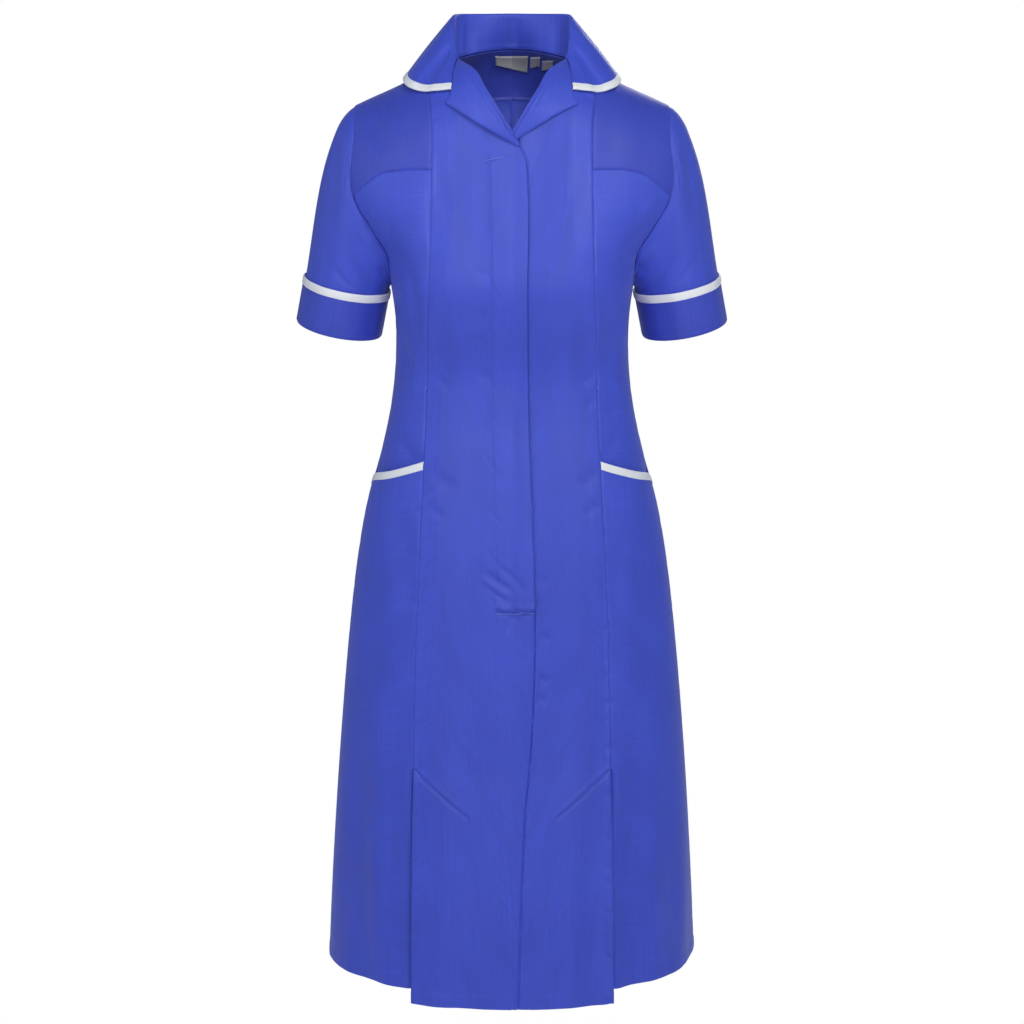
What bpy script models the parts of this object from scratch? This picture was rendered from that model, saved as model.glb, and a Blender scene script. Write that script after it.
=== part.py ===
"""Nurse uniform dress: short sleeves, notched collar and lapels, white bindings.

A filled-out, empty garment in metres, +Z up. The origin is the middle of the neck opening
at the height of the shoulder seams' neck ends. The front faces -Y, so the wearer's left is +X.

Every body panel lies on one form, the "skin". A place on it is (angle, girth): the angle round
the body from the side seam (0) over the centre (pi/2), and the length of cloth down from the
shoulder line. Panels are grids between seam lines on the skin, thickened inward.
"""

import math

import bmesh
import bpy
import numpy as np

# ---- driving sizes -----------------------------------------------------------------
CLOTH = 0.0015           # wall of the twill
TAPE = 0.0010            # wall of the white tape and of the labels
SEAM_GAP = 0.0003        # clear space between neighbouring pieces
BINDING_WIDTH = 0.0085   # what shows of the white bindings

NECK_HALF = 0.063        # shoulder seam's neck end, from the middle
SHOULDER_SLOPE = 0.461   # fall of the shoulder line for each metre outward
SHOULDER_REACH = 0.195   # half width of the form at shoulder height, sleeves left off
FRONT_ROUNDING = 0.080   # radius over which the shoulder turns down at the front
BACK_ROUNDING = 0.100    # and at the back

HEM = -1.0400            # side and back panels
CENTRE_HEM = -1.0540     # the front centre panels hang a little lower
PLACKET_END = -0.608     # the front closes down to here, and is a plain seam below
PLEAT_TOP = -0.790       # kick pleats are open below this
PLEAT_INNER_TOP = -0.840
PLEAT_INNER = 0.0495     # the underlay's inner edge, from the middle
PLEAT_LIFT = 0.009       # how far the centre panel stands off at the hem
UNDERLAP_EDGE = -0.014   # the left front's edge, hidden under the right front
UNDERLAP_TOP = -0.094
UNDER_CROSSING = (0.0080, -0.0670)   # where the right front's edge crosses the left's fold
PLACKET_ROWS = 13
FRONT_COLUMNS = 8
UNDER = -(CLOTH + 0.0009)
YOKE_SEAM = -0.045       # back yoke seam
POCKET_BOTTOM = -0.610
POCKET_DEPTH = -0.0042   # the pocket lies flat: its back is this far behind its front
SIDE_COLUMNS = 6

ARMHOLE_MIDDLE = -0.1515
ARMHOLE_HALF_HEIGHT = 0.0985
ARMHOLE_FRONT = 0.054    # half depth of the armhole to the front
ARMHOLE_BACK = 0.052

FRONT, BACK = -1, 1

# rows of the princess seam at which panels start or end, counted from the shoulder
TO_CHEST, TO_MOUTH, TO_BOTTOM, TO_PLEAT, TO_HEM = 5, 13, 16, 19, 23
# turns of the armhole's stations from its top, with the chest seam and the yoke seam on one each
FRONT_TURNS = list(np.radians([0, 18, 36, 54, 72, 90, 112.5, 135, 157.5, 180]))
BACK_TURNS = list(np.radians([0, 16, 32, 47, 62, 86, 110, 134, 157, 180]))
CHEST_STATION, YOKE_STATION = 5, 4

# height, half width, front depth, back depth, squareness of the horizontal section
SECTIONS = [
    (0.060, 0.1950, 0.095, 0.112, 2.30),
    (-0.080, 0.1950, 0.097, 0.108, 2.30),
    (-0.150, 0.1955, 0.108, 0.112, 2.30),
    (-0.190, 0.1640, 0.117, 0.111, 2.45),
    (-0.215, 0.1440, 0.124, 0.110, 2.60),
    (-0.250, 0.1378, 0.128, 0.107, 2.60),
    (-0.290, 0.1330, 0.120, 0.099, 2.50),
    (-0.340, 0.1332, 0.103, 0.088, 2.35),
    (-0.390, 0.1388, 0.103, 0.089, 2.30),
    (-0.440, 0.1495, 0.110, 0.102, 2.30),
    (-0.500, 0.1665, 0.118, 0.120, 2.30),
    (-0.560, 0.1778, 0.125, 0.130, 2.30),
    (-0.650, 0.1890, 0.132, 0.138, 2.30),
    (-0.790, 0.2015, 0.143, 0.149, 2.30),
    (-0.930, 0.2113, 0.156, 0.161, 2.25),
    (-1.060, 0.2180, 0.170, 0.171, 2.20),
]

# height, distance of the front princess seam from the middle
PRINCESS_SEAM = [
    (0.000, 0.0907), (-0.041, 0.0907), (-0.078, 0.0879), (-0.121, 0.0882), (-0.206, 0.0904),
    (-0.308, 0.0942), (-0.397, 0.0970), (-0.507, 0.1025), (-0.641, 0.1087), (-0.789, 0.1116),
    (-1.060, 0.1118),
]

# height, x of the right front's edge and, below the placket, of the centre seam
FRONT_EDGE = [
    (-0.095, 0.0080), (-0.107, 0.0136), (-0.122, 0.0161), (-0.260, 0.0167), (-0.396, 0.0183),
    (-0.484, 0.0217), (-0.608, 0.0254), (-0.657, 0.0256), (-0.708, 0.0241), (-0.754, 0.0219),
    (-0.794, 0.0186), (-0.835, 0.0148), (-0.876, 0.0129), (-0.977, 0.0088), (-1.060, 0.0072),
]

# x, height of the lapel fold from the roll line's top to where the fronts cross
LAPEL_FOLD = [(0.0585, -0.0040), (0.0390, -0.0165), (0.0280, -0.0345), (0.0170, -0.0520),
              (0.0005, -0.0790)]
# x, height of the seam between collar and lapel, then the notch
GORGE = [(0.0585, -0.0040), (0.0610, -0.0180), (0.0640, -0.0355), (0.0660, -0.0420),
         (0.0717, -0.0500)]
LAPEL_EDGE = [(0.0717, -0.0500), (0.0580, -0.0560), (0.0420, -0.0625), (0.0170, -0.0775),
              (0.0060, -0.0850)]

# x, height of the curved seam under the front shoulder panel
CHEST_SEAM = [(0.0882, -0.1205), (0.1076, -0.1200), (0.1260, -0.1215), (0.1446, -0.1255),
              (0.1604, -0.1370), (0.1770, -0.1515)]
# x, height of the pocket mouth, princess seam to side seam
POCKET_MOUTH = [(0.0985, -0.4440), (0.1282, -0.4560), (0.1560, -0.4680)]
POCKET_SIDE = -0.4755

# The collar from the lapel seam round to the middle of the back. For each station: where its
# seam lies (face, x, height), the top of its roll (x, y, z) and its outer edge (face, x, height)
COLLAR = [
    (FRONT, 0.0585, -0.0040, 0.0600, -0.0375, 0.0010, FRONT, 0.0648, -0.0355),
    (FRONT, 0.0600, -0.0015, 0.0618, -0.0310, 0.0090, FRONT, 0.0820, -0.0375),
    (FRONT, 0.0612, -0.0003, 0.0632, -0.0240, 0.0180, FRONT, 0.1000, -0.0378),
    (FRONT, 0.0620, 0.0001, 0.0642, -0.0160, 0.0270, FRONT, 0.1120, -0.0350),
    (FRONT, 0.0626, 0.0001, 0.0650, -0.0070, 0.0365, FRONT, 0.1178, -0.0292),
    (FRONT, 0.0630, 0.0000, 0.0652, 0.0030, 0.0440, FRONT, 0.1190, -0.0258),
    (BACK, 0.0620, 0.0002, 0.0640, 0.0140, 0.0485, BACK, 0.1155, -0.0290),
    (BACK, 0.0575, 0.0012, 0.0590, 0.0260, 0.0498, BACK, 0.1010, -0.0295),
    (BACK, 0.0470, 0.0040, 0.0480, 0.0390, 0.0503, BACK, 0.0780, -0.0255),
    (BACK, 0.0280, 0.0078, 0.0285, 0.0490, 0.0506, BACK, 0.0450, -0.0195),
    (BACK, 0.0000, 0.0100, 0.0000, 0.0535, 0.0508, BACK, 0.0000, -0.0145),
]
ROLL_RADIUS = 0.0030
COLLAR_STEPS = 12        # columns in each half of the collar

# Sleeve: the armhole and two rings, seen along the sleeve
SLEEVE_AXIS = (0.195, 0.100, -0.975)
CUFF_TOP = (0.1880, 0.0165, -0.2500)
CUFF_LENGTH = 0.0545
SLEEVE_HALF_WIDTH = 0.0482
SLEEVE_HALF_DEPTH = 0.0610

ROYAL_BLUE = (0.070, 0.105, 0.560, 1.0)
DARK_ROYAL = (0.045, 0.065, 0.400, 1.0)
WHITE = (0.880, 0.880, 0.900, 1.0)
LABEL_GREY = (0.380, 0.380, 0.390, 1.0)


# ---- the form ----------------------------------------------------------------------
def smooth(table, column, key):
    """A column of a table at a key of its first column, on a cubic through the rows."""
    keys = [row[0] for row in table]
    values = [row[column] for row in table]
    if keys[0] > keys[-1]:
        keys, values = keys[::-1], values[::-1]
    key = min(max(key, keys[0]), keys[-1])
    k = min(max(int(np.searchsorted(keys, key)) - 1, 0), len(keys) - 2)
    steps = [(values[i + 1] - values[i]) / (keys[i + 1] - keys[i]) for i in range(len(keys) - 1)]
    slopes = [steps[0]] + [(a + b) / 2 for a, b in zip(steps, steps[1:])] + [steps[-1]]
    width = keys[k + 1] - keys[k]
    s = (key - keys[k]) / width
    return (values[k] * (1 + 2 * s) * (1 - s) ** 2 + values[k + 1] * s * s * (3 - 2 * s)
            + width * (slopes[k] * s * (1 - s) ** 2 - slopes[k + 1] * s * s * (1 - s)))


def section(height):
    """Half width, front depth, back depth and squareness at a height."""
    return [smooth(SECTIONS, column, height) for column in (1, 2, 3, 4)]


def shoulder_line(x):
    """Height of the shoulder line at a distance from the middle."""
    return SHOULDER_SLOPE * (NECK_HALF - x)


def line_above(angle):
    """Height of the shoulder line over a place's angle."""
    return shoulder_line(SHOULDER_REACH * abs(math.cos(angle)) ** (2 / 2.3))


def skin(face, place, proud=0.0):
    """The point of the form at a place, moved out by so much."""
    angle, girth = place
    point = bare_skin(face, angle, girth)
    return point + proud * skin_normal(face, place) if proud else point


def bare_skin(face, angle, girth):
    rounding = FRONT_ROUNDING if face == FRONT else BACK_ROUNDING
    turn = min(max(girth, 0.0) / rounding, math.pi / 2)
    below = max(girth - rounding * math.pi / 2, 0.0)
    height = line_above(angle) - rounding * (1 - math.cos(turn)) - below
    half_width, front, back, squareness = section(height)
    depth = front if face == FRONT else back
    across, out = math.cos(angle), math.sin(angle)
    x = math.copysign(half_width * abs(across) ** (2 / squareness), across)
    y = math.copysign(depth * abs(out) ** (2 / squareness), out) * face
    return np.array([x, y * math.sin(turn), height])


def skin_normal(face, place):
    angle, girth = place
    girth = max(girth, 0.0005)
    step = 0.004
    along = bare_skin(face, angle + step, girth) - bare_skin(face, angle - step, girth)
    down = bare_skin(face, angle, girth + 0.0005) - bare_skin(face, angle, girth - 0.0005)
    normal = np.cross(along, down)
    normal /= np.linalg.norm(normal)
    outward = np.array([math.cos(angle), face * math.sin(angle), 0.4])
    return normal if normal @ outward > 0 else -normal


def place_at(face, x, height):
    """The place of the form at an x and a height."""
    half_width, _, _, squareness = section(height)
    share = min(abs(x) / half_width, 1.0)
    angle = math.acos(share ** (squareness / 2))
    angle = angle if x >= 0 else math.pi - angle
    return (angle, girth_at(face, angle, height))


def girth_at(face, angle, height):
    rounding = FRONT_ROUNDING if face == FRONT else BACK_ROUNDING
    fall = max(line_above(angle) - height, 0.0)
    if fall < rounding:
        return rounding * math.acos(1 - fall / rounding)
    return fall + rounding * (math.pi / 2 - 1)


def armhole_place(face, turn):
    """The place on the armhole seam at a turn from its top (0) to the underarm (pi)."""
    height = ARMHOLE_MIDDLE + ARMHOLE_HALF_HEIGHT * math.cos(turn)
    depth = (ARMHOLE_FRONT if face == FRONT else ARMHOLE_BACK) * math.sin(turn)
    low, high = 0.0, math.pi / 2
    for _ in range(40):
        angle = (low + high) / 2
        reach = abs(bare_skin(face, angle, girth_at(face, angle, height))[1])
        low, high = (angle, high) if reach < depth + 1e-6 else (low, angle)
    return (high, girth_at(face, high, height))


# ---- lines and panels on the form --------------------------------------------------
def path(face, places):
    """A line through places of the form, as a function of the share of its length."""
    points = [skin(face, place) for place in places]
    lengths = [0.0] + [float(np.linalg.norm(b - a)) for a, b in zip(points, points[1:])]
    shares = np.cumsum(lengths) / sum(lengths)
    angles = [place[0] for place in places]
    girths = [place[1] for place in places]
    return lambda s: np.array([np.interp(s, shares, angles), np.interp(s, shares, girths)])


def through(face, spots):
    """A path through (x, height) spots, straight between them."""
    fine = []
    for (x0, z0), (x1, z1) in zip(spots, spots[1:]):
        fine += [(x0 + (x1 - x0) * s, z0 + (z1 - z0) * s) for s in np.linspace(0, 1, 8)[:-1]]
    return path(face, [place_at(face, x, z) for x, z in fine + [spots[-1]]])


def stations(places):
    """A line that meets one place at each row, so that neighbours share a seam's points."""
    rows = np.linspace(0, 1, len(places))
    angles = [place[0] for place in places]
    girths = [place[1] for place in places]
    return lambda s: np.array([np.interp(s, rows, angles), np.interp(s, rows, girths)])


def side_seam(face, top, bottom, rows):
    return [(0.0, girth_at(face, 0.0, z)) for z in np.linspace(top, bottom, rows + 1)]


def armhole(face, first, last):
    """Places on the armhole between two of its stations."""
    turns = FRONT_TURNS if face == FRONT else BACK_TURNS
    return [armhole_place(face, turn) for turn in turns[first:last + 1]]


def princess(first, last):
    """Places on the front princess seam between two of its stations."""
    heights = princess_heights()[first:last + 1]
    return [place_at(FRONT, smooth(PRINCESS_SEAM, 1, z), z) for z in heights]


def princess_heights():
    """The shoulder, then even steps between the heights at which a panel starts or ends."""
    shoulder = shoulder_line(smooth(PRINCESS_SEAM, 1, 0.0))
    chest, mouth = CHEST_SEAM[0][1], POCKET_MOUTH[0][1]
    heights = [shoulder + (chest - shoulder) * (k / TO_CHEST) ** 2 for k in range(TO_CHEST)]
    marks = [(chest, mouth, TO_MOUTH - TO_CHEST), (mouth, POCKET_BOTTOM, TO_BOTTOM - TO_MOUTH),
             (POCKET_BOTTOM, PLEAT_TOP, TO_PLEAT - TO_BOTTOM), (PLEAT_TOP, HEM, TO_HEM - TO_PLEAT)]
    for top, bottom, steps in marks:
        heights += [top + (bottom - top) * k / steps for k in range(steps)]
    return heights + [HEM, CENTRE_HEM]


def join(face, *paths):
    """Paths one after the other."""
    places = [tuple(line(s)) for line in paths for s in np.linspace(0, 1, 40)]
    return path(face, places)


def patch(inner, outer, top, bottom, columns, rows):
    """Places between four paths that share their corners (a Coons patch)."""
    grid = np.zeros((rows + 1, columns + 1, 2))
    for i in range(rows + 1):
        v = i / rows
        for j in range(columns + 1):
            u = j / columns
            edges = (1 - u) * inner(v) + u * outer(v) + (1 - v) * top(u) + v * bottom(u)
            corners = ((1 - u) * (1 - v) * top(0) + u * (1 - v) * top(1)
                       + (1 - u) * v * bottom(0) + u * v * bottom(1))
            grid[i, j] = edges - corners
    return grid


def on_skin(face, places, proud=None):
    """Points and normals of a grid of places, each moved out by proud(point)."""
    points = np.zeros(places.shape[:2] + (3,))
    normals = np.zeros_like(points)
    for i in range(places.shape[0]):
        for j in range(places.shape[1]):
            points[i, j] = skin(face, places[i, j])
            normals[i, j] = skin_normal(face, places[i, j])
            if proud:
                points[i, j] += proud(points[i, j]) * normals[i, j]
    return points, normals


def grid_normals(points, closed=False):
    """Normals of a grid of points, from its own rows and columns."""
    if closed:
        ring = points[:, :-1]
        across = np.roll(ring, -1, axis=1) - np.roll(ring, 1, axis=1)
        across = np.concatenate([across, across[:, :1]], axis=1)
    else:
        across = np.gradient(points, axis=1)
    down = np.gradient(points, axis=0)
    normals = np.cross(across, down)
    return normals / np.linalg.norm(normals, axis=2, keepdims=True)


def clear_seams(points, edges="tbio"):
    """Draw a panel's edges back by half a seam gap: top, bottom, inner and outer."""
    drawn = points.copy()
    for key, edge, beside in (("t", np.s_[0], np.s_[1]), ("b", np.s_[-1], np.s_[-2]),
                              ("i", np.s_[:, 0], np.s_[:, 1]), ("o", np.s_[:, -1], np.s_[:, -2])):
        if key in edges:
            inward = points[beside] - points[edge]
            inward /= np.linalg.norm(inward, axis=1, keepdims=True)
            drawn[edge] += inward * SEAM_GAP * 0.55
    return drawn


# ---- objects -----------------------------------------------------------------------
def fabric(name, colour):
    material = bpy.data.materials.new(name)
    material.use_nodes = True
    shader = material.node_tree.nodes["Principled BSDF"]
    shader.inputs["Base Color"].default_value = colour
    shader.inputs["Roughness"].default_value = 0.85
    shader.inputs["Metallic"].default_value = 0.0
    return material


def cloth(name, points, normals, wall, material, closed=False, side=1, missing=None):
    """One piece: a grid sheet laid on its points, then extruded inward by the wall."""
    rows, columns = points.shape[0] - 1, points.shape[1] - 1
    bm = bmesh.new()
    bmesh.ops.create_grid(bm, x_segments=columns, y_segments=rows, size=0.5)
    row = bm.verts.layers.int.new("row")
    column = bm.verts.layers.int.new("column")
    for vertex in bm.verts:
        vertex[row] = round((vertex.co.y + 0.5) * rows)
        vertex[column] = round((vertex.co.x + 0.5) * columns)
    if missing:
        gone = [face for face in bm.faces
                if missing(min(v[row] for v in face.verts), min(v[column] for v in face.verts))]
        bmesh.ops.delete(bm, geom=gone, context="FACES")
    for vertex in bm.verts:
        vertex.co = points[vertex[row], vertex[column]] * (side, 1, 1)
    if closed:
        bmesh.ops.remove_doubles(bm, verts=bm.verts[:], dist=1e-6)
    sheet = bm.faces[:] + bm.edges[:] + bm.verts[:]
    grown = bmesh.ops.extrude_face_region(bm, geom=sheet, use_keep_orig=True)
    inside = points - wall * normals
    for vertex in grown["geom"]:
        if isinstance(vertex, bmesh.types.BMVert):
            vertex.co = inside[vertex[row], vertex[column]] * (side, 1, 1)
    bmesh.ops.recalc_face_normals(bm, faces=bm.faces[:])
    bmesh.ops.triangulate(bm, faces=bm.faces[:], quad_method="SHORT_EDGE")
    mesh = bpy.data.meshes.new(name)
    bm.to_mesh(mesh)
    bm.free()
    mesh.materials.append(material)
    mesh.shade_smooth()
    piece = bpy.data.objects.new(name, mesh)
    collection.objects.link(piece)
    return piece


def wrap(edge, inward, normals, covered, under):
    """Rows of a tape folded over an edge: down its outside, round it and back underneath.

    The tape lies clear of the cloth, whose wall it covers; under is how far it goes back.
    """
    off = SEAM_GAP + TAPE
    rows = [
        edge + inward * BINDING_WIDTH + normals * off,
        edge + normals * off,
        edge - inward * off + normals * off * 0.2,
        edge - inward * off - normals * (covered + off * 0.2 if under else covered),
    ]
    if under:
        rows += [edge - normals * (covered + off), edge + inward * under - normals * (covered + off)]
    return np.array(rows)


# ---- front -------------------------------------------------------------------------
def centre_lift(point):
    """The centre panels stand off over the open kick pleats."""
    fall = min(max((PLEAT_TOP - point[2]) / (PLEAT_TOP - CENTRE_HEM), 0.0), 1.0)
    return PLEAT_LIFT * fall * (2 - fall)


def front_heights():
    """Heights of the front edge's rows, one of them at the placket's end."""
    upper = list(np.linspace(FRONT_EDGE[0][0], PLACKET_END, PLACKET_ROWS + 1))
    return upper + list(np.linspace(PLACKET_END, CENTRE_HEM, TO_HEM + 2 - PLACKET_ROWS))[1:]


def front_grid(left):
    """Places of a centre panel between the princess seam and the front edge, on the +X side."""
    shoulder_x = smooth(PRINCESS_SEAM, 1, 0.0)
    shoulder = path(FRONT, [place_at(FRONT, x, shoulder_line(x))
                            for x in np.linspace(shoulder_x, NECK_HALF, 12)])
    neck = path(FRONT, neck_edge(FRONT, 5, 0))
    heights = front_heights()
    if left:
        fold = through(FRONT, LAPEL_FOLD[:-1] + [UNDER_CROSSING])
        edge = [(smooth(FRONT_EDGE, 1, z), z) for z in heights]
        edge[0] = UNDER_CROSSING
    else:
        edge = [(-smooth(FRONT_EDGE, 1, z), z) for z in heights]
        fold = through(FRONT, LAPEL_FOLD + edge[:1])
    hem_x = smooth(PRINCESS_SEAM, 1, CENTRE_HEM)
    hem = through(FRONT, [(x, CENTRE_HEM) for x in np.linspace(hem_x, edge[-1][0], 12)])
    edge_line = stations([place_at(FRONT, x, z) for x, z in edge])
    return patch(stations(princess(0, TO_HEM + 1)), edge_line, join(FRONT, shoulder, neck, fold),
                 hem, FRONT_COLUMNS, TO_HEM + 1)


def right_front(name):
    points, normals = on_skin(FRONT, front_grid(False), centre_lift)
    cloth(name, clear_seams(points), normals, CLOTH, fabric(name, ROYAL_BLUE), side=-1)


def left_front(name):
    """The left front runs on behind the placket, on the right front's own points moved in."""
    points, normals = on_skin(FRONT, front_grid(True), centre_lift)
    points = clear_seams(points)
    over, over_normals = on_skin(FRONT, front_grid(False), centre_lift)
    flip = np.array([-1, 1, 1])
    over, over_normals = over * flip, over_normals * flip
    extra = 3
    wide = np.zeros((points.shape[0], points.shape[1] + extra, 3))
    wide_normals = np.zeros_like(wide)
    wide[:, :-extra], wide_normals[:, :-extra] = points, normals
    for j in range(extra + 1):
        column = FRONT_COLUMNS + j
        covered = slice(1, PLACKET_ROWS + 1) if j == 0 else slice(1, None)
        wide[covered, column] = (over + over_normals * UNDER)[covered, FRONT_COLUMNS - j]
        wide_normals[:, column] = over_normals[:, FRONT_COLUMNS - j]
        start, end = np.array(UNDER_CROSSING), np.array([UNDERLAP_EDGE, UNDERLAP_TOP])
        spot = start + (end - start) * j / extra
        wide[0, column] = skin(FRONT, place_at(FRONT, *spot), 2 * UNDER)
        if j:
            wide[1, column] = 0.45 * wide[0, column] + 0.55 * wide[2, column]
    cloth(name, wide, wide_normals, CLOTH, fabric(name, ROYAL_BLUE),
          missing=lambda i, j: j >= FRONT_COLUMNS and i >= PLACKET_ROWS)


def lapel(name, side):
    """The front's upper corner, folded out flat over the chest."""
    fold = through(FRONT, LAPEL_FOLD)
    corner = through(FRONT, GORGE)
    outer = through(FRONT, LAPEL_EDGE)
    tip = through(FRONT, [LAPEL_FOLD[-1], LAPEL_EDGE[-1]])
    places = patch(fold, outer, corner, tip, 4, 9)
    points = np.zeros(places.shape[:2] + (3,))
    for i in range(points.shape[0]):
        for j in range(points.shape[1]):
            u = j / (points.shape[1] - 1)
            proud = 0.0042 + 0.0030 * math.sin(math.pi * u) - 0.0010 * u
            points[i, j] = skin(FRONT, places[i, j], proud)
    normals = np.array([[skin_normal(FRONT, place) for place in line] for line in places])
    cloth(name, clear_seams(points), normals, CLOTH, fabric(name, ROYAL_BLUE), side=side)


def shoulder_panel(name, side):
    shoulder_x = smooth(PRINCESS_SEAM, 1, 0.0)
    tip_x = bare_skin(FRONT, *armhole_place(FRONT, 0))[0]
    top = path(FRONT, [place_at(FRONT, x, shoulder_line(x))
                       for x in np.linspace(shoulder_x, tip_x, 12)])
    places = patch(stations(princess(0, TO_CHEST)), stations(armhole(FRONT, 0, CHEST_STATION)),
                   top, chest_seam(), SIDE_COLUMNS, TO_CHEST)
    points, normals = on_skin(FRONT, places)
    cloth(name, clear_seams(points), normals, CLOTH, fabric(name, ROYAL_BLUE), side=side)


def chest_seam():
    places = [place_at(FRONT, x, z) for x, z in CHEST_SEAM]
    places[-1] = armhole_place(FRONT, math.pi / 2)
    return path(FRONT, places)


def pocket_line():
    spots = [place_at(FRONT, x, z) for x, z in POCKET_MOUTH]
    return path(FRONT, spots + [(0.0, girth_at(FRONT, 0.0, POCKET_SIDE))])


def mouth_lift(point):
    """The pocket's outer layer stands a little off along the middle of its mouth."""
    below = min(max((POCKET_MOUTH[0][1] - point[2]) / 0.150, 0.0), 1.0)
    across = min(max((point[0] - POCKET_MOUTH[0][0]) / 0.063, 0.0), 1.0)
    return 0.0020 * math.sin(math.pi * across) * (1 - below) ** 2


def skirt_grid():
    """The side skirt panel from the pocket's mouth to the hem: its points and normals."""
    rows = TO_HEM - TO_MOUTH
    outer = side_seam(FRONT, POCKET_SIDE, HEM, rows)
    hem_x = smooth(PRINCESS_SEAM, 1, HEM)
    angle = place_at(FRONT, hem_x, HEM)[0]
    bottom = path(FRONT, [(a, girth_at(FRONT, a, HEM)) for a in np.linspace(angle, 0, 12)])
    places = patch(stations(princess(TO_MOUTH, TO_HEM)), stations(outer), pocket_line(), bottom,
                   SIDE_COLUMNS, rows)
    return on_skin(FRONT, places, mouth_lift)


def side_front(name, side):
    """From the curved chest seam to the pocket's mouth, then down inside as the pocket's back."""
    rows = TO_MOUTH - TO_CHEST
    under_rows = len(FRONT_TURNS) - 1 - CHEST_STATION
    underarm = ARMHOLE_MIDDLE - ARMHOLE_HALF_HEIGHT
    outer = (armhole(FRONT, CHEST_STATION, len(FRONT_TURNS))
             + side_seam(FRONT, underarm, POCKET_SIDE, rows - under_rows)[1:])
    places = patch(stations(princess(TO_CHEST, TO_MOUTH)), stations(outer), chest_seam(),
                   pocket_line(), SIDE_COLUMNS, rows)
    upper, upper_normals = on_skin(FRONT, places)
    skirt, skirt_normals = skirt_grid()
    bag = slice(0, TO_BOTTOM - TO_MOUTH + 1)
    points = np.concatenate([upper[:-1], (skirt + skirt_normals * POCKET_DEPTH)[bag]])
    normals = np.concatenate([upper_normals[:-1], skirt_normals[bag]])
    cloth(name, clear_seams(points), normals, CLOTH, fabric(name, ROYAL_BLUE), side=side)


def side_skirt(name, binding_name, side):
    points, normals = skirt_grid()
    edge, under_normals = points[0], normals[0]
    inward = points[1] - points[0]
    inward /= np.linalg.norm(inward, axis=1, keepdims=True)
    tape = wrap(edge, inward, under_normals, CLOTH, 0.0040)
    tape[:, 0] += (tape[:, 1] - tape[:, 0]) * 0.03
    tape[:, -1] += (tape[:, -2] - tape[:, -1]) * 0.03
    cloth(binding_name, tape, grid_normals(tape[::-1])[::-1], TAPE, fabric(binding_name, WHITE), side=side)
    # the underlay: four more columns behind the centre panel, from a slanted top to the hem
    heights = points[:, 0, 2]
    first = TO_PLEAT - TO_MOUTH
    extra = 4
    shape = (points.shape[0], points.shape[1] + extra, 3)
    wide, wide_normals = np.zeros(shape), np.zeros(shape)
    points = clear_seams(points)
    wide[:, extra:], wide_normals[:, extra:] = points, normals
    for i in range(shape[0]):
        share = max((heights[first] - heights[i]) / (heights[first] - HEM), 0.0)
        for j in range(extra):
            inward_share = (extra - j) / extra
            x = points[i, 0, 0] + (PLEAT_INNER - points[i, 0, 0]) * inward_share
            top = heights[first] + (PLEAT_INNER_TOP - heights[first]) * inward_share
            place = place_at(FRONT, x, top + (HEM - top) * share)
            wide[i, j] = skin(FRONT, place, UNDER)
            wide_normals[i, j] = skin_normal(FRONT, place)
        if i >= first:
            wide[i, extra] += wide_normals[i, extra] * UNDER
    cloth(name, wide, wide_normals, CLOTH, fabric(name, ROYAL_BLUE), side=side,
          missing=lambda i, j: j < extra and i < first)


# ---- back --------------------------------------------------------------------------
def yoke_seam(count=20):
    """Across the back, from the middle to the armhole, falling a little to the sides."""
    end = armhole_place(BACK, BACK_TURNS[YOKE_STATION])
    end_x, _, end_height = bare_skin(BACK, *end)
    places = []
    for s in np.linspace(0, 1, count):
        places.append(place_at(BACK, end_x * s, YOKE_SEAM + (end_height - YOKE_SEAM) * s ** 2))
    places[-1] = end
    return path(BACK, places)


def back_yoke(name):
    neck = path(BACK, neck_edge(BACK, 10, 5))
    tip_x = bare_skin(BACK, *armhole_place(BACK, 0))[0]
    shoulder = path(BACK, [place_at(BACK, x, shoulder_line(x))
                           for x in np.linspace(NECK_HALF, tip_x, 16)])
    top = join(BACK, neck, shoulder)
    inner = through(BACK, [(0.0, z) for z in np.linspace(COLLAR[-1][2], YOKE_SEAM, 8)])
    outer = stations(armhole(BACK, 0, YOKE_STATION))
    places = patch(inner, outer, top, yoke_seam(), 8, YOKE_STATION)
    half, half_normals = on_skin(BACK, places)
    half = clear_seams(half, "tbo")
    flip = np.array([-1, 1, 1])
    points = np.concatenate([half[:, :0:-1] * flip, half], axis=1)
    normals = np.concatenate([half_normals[:, :0:-1] * flip, half_normals], axis=1)
    cloth(name, points, normals, CLOTH, fabric(name, DARK_ROYAL))


def back_panel(name, side):
    rows, under_rows = 17, len(BACK_TURNS) - 1 - YOKE_STATION
    inner = through(BACK, [(0.0, z) for z in np.linspace(YOKE_SEAM, HEM, 60)])
    underarm = ARMHOLE_MIDDLE - ARMHOLE_HALF_HEIGHT
    outer = stations(armhole(BACK, YOKE_STATION, len(BACK_TURNS))
                     + side_seam(BACK, underarm, HEM, rows - under_rows)[1:])
    bottom = path(BACK, [(a, girth_at(BACK, a, HEM)) for a in np.linspace(math.pi / 2, 0, 16)])
    places = patch(inner, outer, yoke_seam(), bottom, 8, rows)
    points, normals = on_skin(BACK, places)
    cloth(name, clear_seams(points), normals, CLOTH, fabric(name, ROYAL_BLUE), side=side)


# ---- collar ------------------------------------------------------------------------
def unit(vector):
    return vector / np.linalg.norm(vector)


def neck_edge(face, first, last):
    """Places on the neck seam between two of the collar's stations."""
    table = [(float(k), row[1], row[2]) for k, row in enumerate(COLLAR)]
    table.append((float(len(COLLAR)), -COLLAR[-2][1], COLLAR[-2][2]))
    return [place_at(face, smooth(table, 1, k), smooth(table, 2, k))
            for k in np.linspace(first, last, 24)]


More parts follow.
